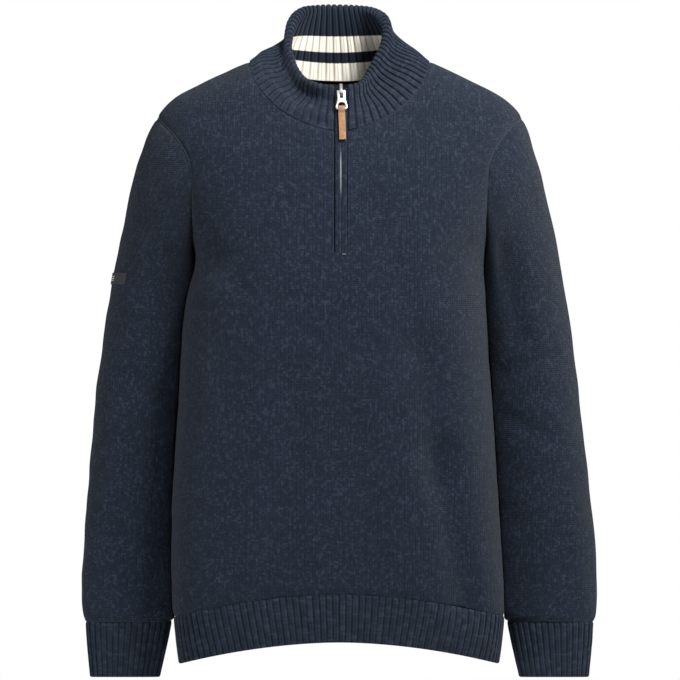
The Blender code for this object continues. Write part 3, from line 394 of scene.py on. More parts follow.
# %% The folds of the body and the sleeves
FOLDS = (
    (FRONT, (100, -350), (118, -500), 7.0, 24),
    (FRONT, (118, -470), (150, -640), 10.0, 22),
    (FRONT, (-58, -380), (-70, -640), 3.5, 22),
    (FRONT, (62, -190), (88, -350), 3.0, 24),
    (FRONT, (150, -215), (104, -262), 2.2, 12),
    (FRONT, (-158, -222), (-112, -276), 2.4, 13),
    (FRONT, (-150, -300), (-128, -420), 2.0, 17),
    (FRONT, (24, -420), (36, -600), 1.8, 20),
    (BACK, (-96, -330), (-124, -620), 6.0, 28),
    (BACK, (84, -400), (112, -640), 5.0, 26),
    (BACK, (-20, -200), (30, -330), 3.0, 30),
    (BACK, (154, -222), (100, -280), 3.0, 14),
    (BACK, (-158, -224), (-104, -284), 2.8, 15),
    (BACK, (30, -470), (44, -620), 2.4, 22),
)
SLEEVE_FOLDS = (
    (LEFT, FRONT, (196, -226), (216, -330), 4.0, 13),
    (LEFT, FRONT, (196, -372), (252, -352), 2.4, 11),
    (LEFT, FRONT, (200, -424), (246, -446), 2.2, 12),
    (LEFT, FRONT, (270, -560), (262, -640), 1.8, 14),
    (LEFT, BACK, (206, -350), (262, -378), 3.0, 13),
    (LEFT, BACK, (214, -440), (268, -420), 2.6, 12),
    (LEFT, BACK, (240, -520), (262, -640), 2.0, 15),
    (RIGHT, FRONT, (-200, -240), (-222, -350), 3.0, 14),
    (RIGHT, FRONT, (-204, -396), (-256, -372), 2.4, 11),
    (RIGHT, FRONT, (-208, -450), (-250, -474), 2.0, 12),
    (RIGHT, FRONT, (-262, -566), (-254, -644), 1.8, 14),
    (RIGHT, BACK, (-208, -360), (-266, -386), 3.0, 13),
    (RIGHT, BACK, (-214, -452), (-262, -430), 2.4, 12),
    (RIGHT, BACK, (-246, -530), (-262, -640), 2.0, 15),
)


def trough(seen, top, bottom, half):
    """How deep in a fold each place is, from 0 to 1; seen holds the places' x and z."""
    top, bottom = np.array(top, float), np.array(bottom, float)
    line = bottom - top
    along = ((seen - top) @ line) / (line @ line)
    aside = np.linalg.norm(seen - top - np.clip(along, 0, 1)[..., None] * line, axis=-1)
    fade = np.exp(-((np.maximum(np.abs(along - 0.5) - 0.5, 0) * 2.5) ** 2))
    return fade * np.exp(-((aside / half) ** 2))


def uneven(points, size, seed):
    """A slow unevenness between about -1 and 1, from a few long waves in all directions."""
    chance = np.random.default_rng(seed)
    total = np.zeros(points.shape[:-1])
    for _ in range(10):
        wave = unit(chance.normal(size=3)) * chance.uniform(0.6, 1.6) * 2 * math.pi / size
        total += np.sin(points @ wave + chance.uniform(0, 2 * math.pi))
    return total / 4


def creased(points, facing):
    """The body's points, moved in along their normals by the folds."""
    depth = 0.5 * uneven(points, 95, 3) + 0.35 * uneven(points, 40, 4)
    for face, top, bottom, deep, half in FOLDS:
        depth = depth + deep * trough(points[..., [0, 2]], top, bottom, half) * (points[..., 1] * face > 0)
    return points - depth[..., None] * facing


print(len(FOLDS), "folds on the body and", len(SLEEVE_FOLDS), "on the sleeves")

# %% [markdown]
# ## From points to a sheet of cloth
# Cloth could be one surface with a Solidify modifier. Here both faces of each sheet are made at once, as two grids
# of points, because a seam needs both to end in the same place. Beside the points, each sheet gets a map of its
# stitches: a step of 1 across is one column of stitches, and a step of 1 up is one row. The knit's pattern is drawn
# on that map, so it follows the cloth round every bend.

# %% A sheet between two grids of points
CLOTH_SHARP = math.radians(62)


def piece_from(name, points, faces, corners=None, finishes=(), finish_of=None):
    """A mesh object from points in millimetres, with its stitch map."""
    mesh = bpy.data.meshes.new(name)
    mesh.from_pydata(np.asarray(points) * MM, [], faces)
    if corners is not None:
        layer = mesh.uv_layers.new(name="stitches")
        layer.data.foreach_set("uv", np.asarray(corners, np.float32).ravel())
    for finish in finishes:
        mesh.materials.append(finish)
    if finish_of is not None:
        mesh.polygons.foreach_set("material_index", np.asarray(finish_of, np.int32))
    mesh.shade_smooth()
    mesh.set_sharp_from_angle(angle=CLOTH_SHARP)
    made = bpy.data.objects.new(name, mesh)
    bpy.context.collection.objects.link(made)
    return made


def free_edges(quads):
    """The edges that only one face uses, each in that face's direction."""
    used = {(int(a), int(b)) for quad in quads for a, b in zip(quad, np.roll(quad, -1))}
    return np.array(sorted(pair for pair in used if pair[::-1] not in used))


def cloth(name, outer, inner, stitches, finishes, kept=None):
    """A sheet with an outer and an inner face, closed off along every free edge.

    Where the stitch map has a column more than the points, the sheet joins itself into a tube. A panel with a slit
    says which of its faces are kept."""
    rows, columns = outer.shape[:2]
    row, column = np.meshgrid(np.arange(rows - 1), np.arange(stitches.shape[1] - 1), indexing="ij")
    use = np.ones(row.shape, bool) if kept is None else kept(row, column)
    row, column = row[use], column[use]
    after = (column + 1) % columns
    quads = np.stack([row * columns + column, row * columns + after,
                      (row + 1) * columns + after, (row + 1) * columns + column], axis=1)
    map_corners = np.stack([stitches[row, column], stitches[row, column + 1],
                            stitches[row + 1, column + 1], stitches[row + 1, column]], axis=1)
    points = np.vstack([outer.reshape(-1, 3), inner.reshape(-1, 3)])
    shift = rows * columns
    edge = free_edges(quads)
    place_of = np.zeros((shift, 2))
    place_of[quads.ravel()] = map_corners.reshape(-1, 2)
    rim = np.stack([edge[:, 1], edge[:, 0], edge[:, 0] + shift, edge[:, 1] + shift], axis=1)
    rim_corners = place_of[np.stack([edge[:, 1], edge[:, 0], edge[:, 0], edge[:, 1]], axis=1)]
    faces = np.vstack([quads, quads[:, ::-1] + shift, rim])
    corners = np.vstack([map_corners, map_corners[:, ::-1], rim_corners])
    middle = quads[len(quads) // 2]
    a, b, c = points[middle[:3]]
    out = points[middle[0]] - points[middle[0] + shift]
    if np.dot(np.cross(b - a, c - a), out) < 0:
        faces, corners = faces[:, ::-1], corners[:, ::-1]
    used = np.unique(faces)
    renumber = np.zeros(2 * shift, int)
    renumber[used] = np.arange(len(used))
    which = np.zeros(len(faces), int)
    which[len(quads):2 * len(quads)] = len(finishes) - 1
    made = piece_from(name, points[used], renumber[faces].tolist(), corners.reshape(-1, 2), finishes, which)
    print(f"{name}: {2 * len(faces)} triangles")
    return made


def grid_normals(grid, closed, outward):
    """Normals of a grid of points; outward says which way the rows turn round it."""
    along = np.gradient(grid, axis=0)
    if closed:
        around = np.roll(grid, -1, axis=1) - np.roll(grid, 1, axis=1)
    else:
        around = np.gradient(grid, axis=1)
    return unit(outward * np.cross(along, around))


# %% Beside a seam
DIP_DEEP, DIP_HALF_WIDTH = 1.3, 3.4


def seam_dip(distance):
    """How far the cloth is drawn in beside a sewn seam."""
    return DIP_DEEP * np.exp(-((distance / DIP_HALF_WIDTH) ** 2))


def by_the_underarm(points):
    """1 near the underarm, where nothing may part the sleeve from the body, and 0 well away from it."""
    return np.exp(-(((points[..., 2] - UNDERARM_Z) / UNDERARM_REACH) ** 2))


def from_edges(grid, sides=True):
    """Each point's distance from the nearest edge of its grid; a tube has no sides."""
    edges = [grid[-1:], grid[:1], *((grid[:, :1], grid[:, -1:]) if sides else ())]
    return np.min([np.linalg.norm(grid - edge, axis=-1) for edge in edges], axis=0)


# %% [markdown]
# ## The sleeves' shape
# A sleeve starts as the ring of the armhole and ends as a small flat oval at the cuff. The rings in between are ovals
# whose sizes come from the table, and the first few keep a share of the armhole's own shape. Where a sleeve lies
# against the side of the body it is pressed flat there, just clear of it.

# %% Rings of a sleeve
SLEEVE_STEPS = 184


def oval(side, ring, count):
    """A plain ring of a sleeve's sizes, from its outermost point round the front to the innermost."""
    name = "left" if side == LEFT else "right"
    angle = np.arange(count) * 2 * math.pi / count
    turns = (np.cos(angle), np.sin(angle))
    across, forward = (np.sign(t) * np.abs(t) ** (2 / SLEEVE_POWER) for t in turns)
    outer = np.array([side * SLEEVE.at("outer_" + name, ring), SLEEVE.at("outer_z", ring)])
    inner = np.array([side * SLEEVE.at("inner_" + name, ring), SLEEVE.at("inner_z", ring)])
    seen = (outer + inner) / 2 + across[:, None] * (outer - inner) / 2
    y = SLEEVE.at("middle_y", ring) - SLEEVE.at("half_depth", ring) * forward
    return np.stack([seen[:, 0], y, seen[:, 1]], axis=1)


def armhole_ring(side):
    """The whole armhole seam, in the sleeve's order."""
    front, back = armhole(side, FRONT), armhole(side, BACK)
    return np.vstack([front[:0:-1], back[:-1]])


def sleeve_grid(side, rings):
    """Rings of a sleeve, each as far down it as rings says."""
    hole, count = armhole_ring(side), 2 * YOKE_ROWS
    plain = oval(side, 0, count)
    made = []
    for ring in rings:
        share = SLEEVE.at("armhole", ring)
        points = oval(side, ring, count) + share * (hole - plain)
        made.append(pressed(points, BODY_GAP * min(ring / 3, 1)) if ring > 0 else hole)
    return np.array(made)


def armhole_seam(side):
    """The armhole seam's points, how its wall faces, and which way the sleeve lies."""
    ring = armhole_ring(side)
    along = unit(np.roll(ring, -1, axis=0) - np.roll(ring, 1, axis=0))
    body = form_normal(ring)
    sleeve = grid_normals(sleeve_grid(side, np.arange(3)), True, -side)[0]
    down_body, down_sleeve = side * np.cross(along, body), -side * np.cross(along, sleeve)
    hollow = np.sign(np.sum(body * down_sleeve, axis=1, keepdims=True))
    facing = unit(body + sleeve + hollow * (down_body + down_sleeve))
    away = unit(np.cross(along, facing))
    away *= np.sign(away[:, :1] * side)
    return ring, facing, away


# %% [markdown]
# ## The collar's shape
# The collar is a band of rib, folded in half along its top edge. It leaves the neck seam wide, bends in like the bell
# of a trumpet, and ends in a thick rolled edge that is much higher behind than in front.

# %% The neck seam and the rim
COLLAR_FINE = 12 * COLLAR_RIBS + 1


def neck_ring():
    """The neck seam from the left edge of the zip round the back to its right edge."""
    left = [neck_points(LEFT, FRONT)[::-1], neck_points(LEFT, BACK)[1:]]
    right = [neck_points(RIGHT, BACK)[-2::-1], neck_points(RIGHT, FRONT)[1:]]
    return np.vstack(left + right)


def rim_ring():
    """The outside of the collar's top edge, in the same order."""
    angle = np.linspace(0, 2 * math.pi, 1600)
    across = np.sign(np.sin(angle)) * np.abs(np.sin(angle)) ** (2 / RIM_POWER)
    back = -np.sign(np.cos(angle)) * np.abs(np.cos(angle)) ** (2 / RIM_POWER)
    height = RIM_HALF_HEIGHT * RIM.at("height", back)
    width = RIM_HALF_WIDTH * np.where(across < 0, RIM.at("right", back), RIM.at("left", back))
    ring = RIM_MIDDLE + np.stack([width * across, RIM_HALF_DEPTH * back, height], axis=1)
    in_opening = (back < 0) & (np.abs(ring[:, 0] - ZIP_X) < SLIT_WIDTH / 2)
    ring = ring[~in_opening]
    ring[0, 0], ring[-1, 0] = ZIP_X + SLIT_WIDTH / 2, ZIP_X - SLIT_WIDTH / 2
    return ring


def collar_sheet(seam, rim, rise):
    """Points of the collar's outer surface, at rises from 0 at the seam to 1 where its top rolls over."""
    bend = rim + FLARE * (seam - rim)
    bend[:, 2] = seam[:, 2] + BEND * (rim[:, 2] - seam[:, 2])
    rise = np.asarray(rise)[:, None, None]
    return (1 - rise) ** 2 * seam + 2 * rise * (1 - rise) * bend + rise**2 * rim


def eased(low, high, value):
    """0 below low, 1 above high, and smooth in between."""
    share = np.clip((value - low) / (high - low), 0, 1)
    return share * share * (3 - 2 * share)


def recess(count, rises):
    """How far the outside of the collar is drawn in under its roll: less beside the zip, more on the right."""
    rises, place = np.asarray(rises)[:, None], np.linspace(0, 1, count)
    from_zip = eased(0, ZIP_STIFF, np.minimum(place, 1 - place))
    under_roll = eased(*RECESS_STARTS, rises) * (1 - eased(*RECESS_ENDS, rises))
    deepest = RECESS + (RECESS_RIGHT - RECESS) * eased(*RECESS_TURNS, place)
    return (deepest * under_roll * (RECESS_AT_ZIP + (1 - RECESS_AT_ZIP) * from_zip))[..., None]


def collar_layers(count, rises):
    """The collar's outer points before its recess, their normals, and its upward direction at the rim."""
    seam, rim = spaced(neck_ring(), count), spaced(rim_ring(), count)
    outer = collar_sheet(seam, rim, rises)
    fine = collar_sheet(seam, rim, np.linspace(0, 1, 41))
    every = grid_normals(fine, False, -1)
    at = np.clip(np.asarray(rises) * 40, 0, 40)
    low = np.minimum(at.astype(int), 39)
    part = (at - low)[:, None, None]
    normals = unit(every[low] * (1 - part) + every[low + 1] * part)
    return outer, normals, unit(fine[-1] - fine[-2])


def collar_thick(rises):
    """The collar's thickness, which grows quickly towards the roll."""
    return COLLAR_THICK + (ROLL_THICK - COLLAR_THICK) * np.asarray(rises)[:, None, None] ** 2.2


def neck_seam():
    """The neck seam's points, how the wall faces there, half way between body and collar, and the way up."""
    ring = neck_ring()
    seam, above = collar_layers(COLLAR_FINE, (0, 0.1))[0]
    collar = collar_layers(COLLAR_FINE, (0,))[1][0]
    nearest = np.argmin(np.linalg.norm(seam - ring[:, None], axis=2), axis=1)
    facing = unit(form_normal(ring) + collar[nearest])
    away = unit(np.cross(facing, np.gradient(ring, axis=0)))
    away *= np.sign(np.sum(away * (above - seam)[nearest], axis=1, keepdims=True))
    return ring, facing, away


print("the neck seam is", round(float(np.linalg.norm(np.diff(neck_ring(), axis=0), axis=1).sum())), "mm long")

# %% [markdown]
# ## Writing materials as sums
# A material is a small calculation that runs at every point of a surface. In Blender it is a tree of nodes, which
# gets hard to read when it has many steps. This wrapper lets the steps be written as Python expressions: adding two
# values adds a Math node. Every other node comes from one method, which takes the node's type, its settings and its
# inputs.


# %% Values and finishes
class Value:
    """One output in a finish's node tree."""

    def __init__(self, finish, socket):
        self.finish, self.socket = finish, socket

    def math(self, operation, *others):
        inputs = dict(enumerate((self, *others)))
        return self.finish.node("ShaderNodeMath", {"operation": operation}, inputs)

    def __add__(self, other):
        return self.math("ADD", other)

    def __mul__(self, other):
        return self.math("MULTIPLY", other)

    def __sub__(self, other):
        return self.math("SUBTRACT", other)

    def __rsub__(self, other):
        return (self * -1.0) + other

    def __truediv__(self, other):
        return self.math("DIVIDE", other)

    def __pow__(self, other):
        return self.math("POWER", other)

    def __abs__(self):
        return self.math("ABSOLUTE")

    __radd__, __rmul__ = __add__, __mul__

    def between(self, low, high):
        """0 below low, 1 above high, and smooth in between."""
        settings = {"interpolation_type": "SMOOTHSTEP"}
        return self.finish.node("ShaderNodeMapRange", settings, {0: self, 1: low, 2: high, 3: 0.0, 4: 1.0})


class Finish:
    """A material, built up from named settings and node expressions."""

    def __init__(self, name, colour, **settings):
        self.material = bpy.data.materials.new(name)
        self.material.use_nodes = True
        self.tree = self.material.node_tree
        self.shader = self.tree.nodes["Principled BSDF"]
        self.shader.inputs["Base Color"].default_value = (*colour, 1)
        for socket, value in settings.items():
            self.shader.inputs[socket.replace("_", " ").title().replace("Ior", "IOR")].default_value = value

    def node(self, kind, settings=(), inputs=(), outputs=(0,)):
        made = self.tree.nodes.new(kind)
        for key, value in dict(settings).items():
            setattr(made, key, value)
        for key, value in dict(inputs).items():
            self.feed(made.inputs[key], value)
        found = tuple(Value(self, made.outputs[k]) for k in outputs)
        return found[0] if len(found) == 1 else found

    def feed(self, socket, value):
        if isinstance(value, Value):
            self.tree.links.new(value.socket, socket)
        else:
            socket.default_value = value

    def mix(self, share, first, second):
        """A colour between two, by share."""
        colours = {6: first, 7: second}
        ready = {k: (*c, 1) if isinstance(c, tuple) else c for k, c in colours.items()}
        return self.node("ShaderNodeMix", {"data_type": "RGBA"}, {0: share, **ready}, (2,))

    def place(self):
        """Where a point is on the piece, in metres."""
        return self.node("ShaderNodeTexCoord", outputs=(3,))

    def stitches(self):
        """Where a point is on the piece's stitch map."""
        return self.node("ShaderNodeUVMap", {"uv_map": "stitches"})

    def split(self, place, *outputs):
        """The parts of a place that are asked for, of which 0 is x and 2 is z."""
        return self.node("ShaderNodeSeparateXYZ", inputs={0: place}, outputs=outputs)

    def noise(self, scale, detail=2.0, where=None):
        """Clouds of light and dark around a half, scale of them to a metre."""
        return self.node("ShaderNodeTexNoise", inputs={0: where or self.place(), 2: scale, 3: detail})

    def bump(self, height, distance):
        normal = self.node("ShaderNodeBump", inputs={"Strength": 1.0, "Distance": distance, "Height": height})
        self.feed(self.shader.inputs["Normal"], normal)

    def paint(self, colour):
        self.feed(self.shader.inputs["Base Color"], colour)


# %% [markdown]
# ## Plain knit
# In plain knit each stitch is a V, and the Vs stand in columns. One leg of a V is a short, fat, slanting piece of
# yarn. On the stitch map a column is 1 wide, so the distance from the column's middle says where on its leg a point
# is across, and the height, pushed up by that distance, says how far along the leg it is. The same value gives the
# bump, and the colour: painted shade between the yarns and a painted highlight on their tops. The inside of the
# cloth shows the back of the stitches, which are little rows of arcs.

# %% The pattern of the stitches
# NAVY_DEEP is also the painted shade between the yarns, and NAVY_LIGHT also the painted highlight on their tops
NAVY_DEEP = (0.0033, 0.0056, 0.0112)
NAVY = (0.0084, 0.0134, 0.0240)
NAVY_LIGHT = (0.0230, 0.0330, 0.0520)
KNIT_CLIMB, PURL_CLIMB, RIB_CLIMB = 1.15, 1.6, 2.1  # how steeply a stitch climbs away from its column's middle


def stitch_place(finish, wobble):
    """Across and up on the stitch map, a little uneven as yarn is."""
    across, up = finish.split(finish.stitches(), 0, 1)
    drift = finish.noise(420.0, 1.0)
    return across + (drift - 0.5) * wobble, up + (drift - 0.5) * (wobble * 2.2)


def knit_height(across, up):
    """The height of plain stitches, from 0 between the yarns to 1 on top of them."""
    aside = abs(across.math("FRACT") - 0.5)
    along = (up - aside * KNIT_CLIMB).math("FRACT")
    round_along = (along * math.pi).math("SINE")
    round_across = (aside * (2 * math.pi)).math("SINE").math("MAXIMUM", 0.0)
    sunk = 1.0 - aside.between(0.26, 0.50) * 0.75
    return ((round_along * round_across).math("MAXIMUM", 0.0) ** 0.55) * sunk


def purl_height(across, up):
    """The back of the knit: rows of small arcs, each row half a stitch over from the last."""
    row = up.math("FLOOR")
    shifted = (across + row * 0.5).math("FRACT") - 0.5
    arc = (up + shifted * shifted * PURL_CLIMB).math("FRACT")
    return (arc * math.pi).math("SINE") ** 0.7


def melange(finish, across, up):
    """Random light and dark from stitch to stitch and along the columns, from 0 to 1, as mixed yarn has."""
    column, row = across.math("FLOOR"), up.math("FLOOR")
    cell = finish.node("ShaderNodeCombineXYZ", inputs={0: column, 1: row})
    stitch = finish.node("ShaderNodeTexWhiteNoise", {"noise_dimensions": "3D"}, {0: cell})
    streak_place = finish.node("ShaderNodeCombineXYZ", inputs={0: across * 0.9, 1: up * 0.22})
    streaks = finish.noise(1.0, 2.0, streak_place)
    clumps = finish.noise(420.0, 3.0)
    return stitch * 0.46 + streaks.between(0.28, 0.72) * 0.34 + clumps.between(0.30, 0.70) * 0.20


def yarn(finish, height, place, bump):
    """Yarn colour and bump from the height of the stitches, with fibres, mixed yarn and a slow change of tone,
    and with painted shade between the yarns and a painted highlight on their tops.
    """
    fibres = finish.noise(2600.0, 2.0)
    tone = finish.noise(38.0, 3.0)
    mixed = melange(finish, *place)
    # painted shade: the colour goes darker where the stitches are low, between the yarns
    body = finish.mix(height.between(0.05, 0.85), NAVY_DEEP, NAVY)
    # painted highlight: the colour goes lighter on the stitches' raised tops, in flecks of fibre
    fuzz_and_painted_highlight = finish.mix(height * fibres.between(0.35, 0.75) * 0.45, body, NAVY_LIGHT)
    lit = finish.mix(mixed.between(0.52, 0.86) * 0.62, fuzz_and_painted_highlight, NAVY_LIGHT)
    shaded = finish.mix(mixed.between(0.48, 0.14) * 0.55, lit, NAVY_DEEP)
    finish.paint(finish.mix(tone.between(0.30, 0.72) * 0.16, shaded, NAVY_DEEP))
    finish.bump(height + (fibres - 0.5) * 0.5 + mixed * 0.5, bump * MM)


# %% Knit, from outside and from inside
def cloth_finish(name):
    return Finish(name, NAVY, roughness=0.92, specular_ior_level=0.10, sheen_weight=0.04, sheen_roughness=0.5)


def knitted(name, height_of, bump, wobble=0.10):
    """A navy yarn finish whose stitches have the height that height_of gives them."""
    finish = cloth_finish(name)
    place = stitch_place(finish, wobble)
    yarn(finish, height_of(*place), place, bump)
    return finish


knit = knitted("navy_knit", knit_height, 0.65)
purl = knitted("navy_knit_inside", purl_height, 0.7)
print("finishes so far:", knit.material.name, "and", purl.material.name)

# %% [markdown]
# ## Rib
# Rib is knit in which columns of front stitches stand up and columns of back stitches sink between them. The ridges
# are in the mesh, because they catch the light and make the edge of the collar wavy. The finish only adds the row of
# Vs down the crest of each rib, and painted shade in the groove. Inside the collar two cream bands run round with
# the rows.

# %% Rib, and rib with cream bands
# CREAM_PAINTED_SHADE is the painted shade between the yarns of the cream bands, and CREAM_LIGHT their painted
# highlight
CREAM_PAINTED_SHADE = (0.62, 0.58, 0.47)
CREAM = (0.80, 0.76, 0.65)
CREAM_LIGHT = (0.88, 0.85, 0.76)
COLLAR_STITCH_ROWS = 38.0
BANDS = ((0.0, 0.225), (0.365, 0.57))  # parts of the collar's inside that are cream, from the neck seam up
BAND_SOFT = 0.006
RIB_WOBBLE = 0.06


def rib_height(across, up):
    """Vs on the crest of each rib, and bars in the groove between two ribs."""
    aside = abs(across.math("FRACT") - 0.5)
    crest = 1.0 - aside.between(0.30, 0.46)
    along = (up - aside * RIB_CLIMB).math("FRACT")
    leg = (along * math.pi).math("SINE") * (aside * (math.pi / 0.36)).math("SINE").math("MAXIMUM", 0.0)
    return (leg.math("MAXIMUM", 0.0) ** 0.5) * crest * 0.8 + crest * 0.2


rib = knitted("navy_rib", rib_height, 0.8, RIB_WOBBLE)


def banded_yarn(finish, height, share):
    """Navy yarn with cream bands; share is the height in the collar from 0 at its seam to 1 at its top."""
    in_band = 0.0
    for low, high in BANDS:
        above, below = (share.between(edge - BAND_SOFT, edge + BAND_SOFT) for edge in (low, high))
        in_band = above * (1.0 - below) + in_band
    fibres = finish.noise(2600.0, 2.0)
    raised = height.between(0.0, 0.8)
    # painted shade between the yarns and a painted highlight on their tops, in the navy and in the cream alike
    navy = finish.mix(height * fibres * 0.4, finish.mix(raised, NAVY_DEEP, NAVY), NAVY_LIGHT)
    cream = finish.mix(height * fibres * 0.6, finish.mix(raised, CREAM_PAINTED_SHADE, CREAM), CREAM_LIGHT)
    finish.paint(finish.mix(in_band, navy, cream))
    finish.bump(height + (fibres - 0.5) * 0.5, 0.8 * MM)


banded = cloth_finish("navy_rib_with_cream_bands")
rise_up = banded.split(banded.stitches(), 1) / COLLAR_STITCH_ROWS
banded_yarn(banded, rib_height(*stitch_place(banded, RIB_WOBBLE)), rise_up)
print("cream bands from", BANDS[0], "and", BANDS[1], "of the collar's height")

# %% [markdown]
# ## Metal, leather and woven trims
# The slider and the pull are polished nickel: a clean, bright metal with very fine scratches. The teeth are duller.
# The tab is smooth tan leather with a fine grain, paler cut edges, and a dark pressed band where it is stitched shut.
# The tapes are plain woven cloth.

# %% Polished nickel
nickel = Finish("polished_nickel", (0.80, 0.79, 0.76), metallic=1.0, roughness=0.16)
scratches = nickel.noise(1500.0, 3.0)
smudge = nickel.noise(220.0, 2.0)
nickel.feed(nickel.shader.inputs["Roughness"], smudge * 0.14 + 0.24)
nickel.paint(nickel.mix(smudge, (0.66, 0.655, 0.64), (0.82, 0.815, 0.80)))
nickel.bump(scratches, 0.02 * MM)

teeth_metal = Finish("dull_nickel_teeth", (0.86, 0.87, 0.88), metallic=1.0, roughness=0.38)
print("metals:", nickel.material.name, "and", teeth_metal.material.name)

# %% Tan leather
TAN_DARK, TAN_LIGHT = (0.165, 0.070, 0.026), (0.27, 0.140, 0.060)
TAN_PORES, TAN_PRESSED = (0.09, 0.035, 0.016), (0.06, 0.026, 0.011)
PRESSED_BAND = ((-0.0625, -0.0612), (-0.0598, -0.0585))  # heights in metres between which it starts, and ends

leather = Finish("tan_leather", (0.42, 0.17, 0.07), roughness=0.5, specular_ior_level=0.4)
pores = leather.node("ShaderNodeTexVoronoi", {"feature": "DISTANCE_TO_EDGE"}, {0: leather.place(), "Scale": 1700.0})
grain = pores.between(0.0, 0.18)
mottle = leather.noise(260.0, 4.0)
surface_colour = leather.mix(mottle.between(0.25, 0.8), TAN_DARK, TAN_LIGHT)
height = leather.split(leather.place(), 2)
pressed_in = height.between(*PRESSED_BAND[0]) * (1.0 - height.between(*PRESSED_BAND[1]))
surface_colour = leather.mix(pressed_in * 0.65, surface_colour, TAN_PRESSED)
leather.paint(leather.mix(grain, leather.mix(0.35, surface_colour, TAN_PORES), surface_colour))
leather.feed(leather.shader.inputs["Roughness"], mottle * 0.25 + 0.34)
leather.bump(grain * 0.6 + mottle * 0.4, 0.12 * MM)

leather_edge = Finish("cut_leather_edge", (0.50, 0.31, 0.21), roughness=0.75)
raw = leather_edge.noise(1400.0, 4.0)
leather_edge.paint(leather_edge.mix(raw, (0.36, 0.22, 0.145), (0.52, 0.35, 0.25)))
leather_edge.bump(raw, 0.25 * MM)
print("leather:", leather.material.name, "and", leather_edge.material.name)


# %% Woven tapes
def weave(finish, threads, dark, light, fleck_colour=None):
    """Over and under threads on Object coordinates, as on a narrow tape; threads is radians of them to a metre."""
    x, y, z = finish.split(finish.place(), 0, 1, 2)
    warp = ((x + y * 0.6) * threads).math("SINE")
    weft = (z * threads).math("SINE")
    height = (warp * weft) * 0.5 + 0.5
    colour = finish.mix(height, dark, light)
    if fleck_colour:
        flecks = finish.noise(700.0, 2.0).between(0.5, 0.66)
        colour = finish.mix(flecks * 0.75, colour, fleck_colour)
    finish.paint(colour)
    finish.bump(height, 0.18 * MM)


tape = Finish("navy_zip_tape", (0.012, 0.016, 0.028), roughness=0.85)
weave(tape, 7000.0, (0.003, 0.0045, 0.008), (0.011, 0.015, 0.024))
neck_cloth = Finish("flecked_neck_tape", (0.11, 0.085, 0.07), roughness=0.9)
weave(neck_cloth, 4200.0, (0.03, 0.024, 0.02), (0.09, 0.068, 0.054), (0.30, 0.25, 0.19))
print("nickel, leather and tapes are ready")

# %% [markdown]
# ## Front and back
# Both panels are grids from the hem seam up to the shoulders and the neck. The front has a slit down from the neck
# for the zip, so its middle columns are left out above the zip's foot. Columns of stitches run straight up a panel,
# whatever shape its edges have, so the stitch map is measured along level slices from the middle, not along the
# grid.

# %% The stitch map of a panel
SLICE_STEPS = 28
CLIMB_X, CLIMB_Z = 60.0, (-740, 10)  # the line up a panel along which its rows of stitches are counted


def stitch_map(points, face):
    """Columns of stitches from the middle, and rows from the hem up."""
    x, z = points[..., 0], points[..., 2]
    shares = np.linspace(0, 1, SLICE_STEPS).reshape(-1, *[1] * x.ndim)
    line = form_at(x * shares, np.broadcast_to(z, (SLICE_STEPS, *z.shape)), face)
    length = np.linalg.norm(np.diff(line, axis=0), axis=-1).sum(axis=0)
    heights = np.linspace(*CLIMB_Z, 400)
    path = form_at(np.full_like(heights, CLIMB_X), heights, face)
    climb = np.concatenate([[0], np.cumsum(np.linalg.norm(np.diff(path, axis=0), axis=1))])
    return np.stack([np.sign(x) * length / WALE, np.interp(z, heights, climb) / COURSE], axis=-1)


# %% A panel's points, and which way its wall faces
BLEND = (1.0, 0.72, 0.46, 0.25, 0.10)  # how much of a seam's own direction the wall still has on its way in


def blended(facing, index_of, seam_facing):
    """Turns the wall's direction towards that of a seam over the first few rows or columns beside it."""
    for k, share in enumerate(BLEND):
        place = index_of(k)
        facing[place] = unit(facing[place] * (1 - share) + seam_facing * share)


def panel_layers(face):
    """A panel's outer points, which way its wall faces, and its stitch map."""
    right, left = half_panel(RIGHT, face), half_panel(LEFT, face)[:, ::-1]
    if face == FRONT:
        share = np.linspace(0, 1, SLIT_COLUMNS + 1)[1:-1, None]
        middle = right[:, -1:] * (1 - share) + left[:, :1] * share
        middle = form_at(middle[..., 0], middle[..., 2], FRONT)
        grid = np.concatenate([right, middle, left], axis=1)
    else:
        grid = np.concatenate([right, left[:, 1:]], axis=1)
    mapped, facing = stitch_map(grid, face), form_normal(grid)
    neck = slice(SHOULDER_COLUMNS, -SHOULDER_COLUMNS)
    ring, wall_facing, away = neck_seam()
    nearest = np.argmin(np.linalg.norm(ring - grid[-1, neck][:, None], axis=2), axis=1)
    drawn_in = (seam_dip(from_edges(grid)) * (1 - 0.9 * by_the_underarm(grid)))[..., None] * facing
    grid = creased(grid, facing) - drawn_in
    grid[-1, neck] -= SEAM / 2 * away[nearest]
    blended(facing, lambda k: (-1 - k, neck), wall_facing[nearest])
    order = np.arange(YOKE_ROWS, -1, -1) if face == FRONT else np.arange(YOKE_ROWS, 2 * YOKE_ROWS + 1)
    for side, column, step in ((RIGHT, 0, 1), (LEFT, -1, -1)):
        seam, wall_facing, away = armhole_seam(side)
        around = order % len(seam)
        turn = wall_facing[around]
        turn[0] = unit(facing[WAIST_ROWS, column] + turn[0])
        blended(facing, lambda k: (slice(WAIST_ROWS, None), column + step * k), turn)
        grid[WAIST_ROWS:, column] -= SEAM / 2 * away[around]
        grid[: WAIST_ROWS + 1, column, 1] += face * SEAM / 2
    grid[-1, : SHOULDER_COLUMNS + 1, 1] += face * SEAM / 2
    grid[-1, -SHOULDER_COLUMNS - 1 :, 1] += face * SEAM / 2
    grid[0, :, 2] += SEAM / 2
    return grid, facing, mapped


# %% The two panels
def belongs(made, node):
    """The piece moves with the garment and stands for its solid."""
    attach(made, "garment")
    if node:
        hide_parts(node)
    return made


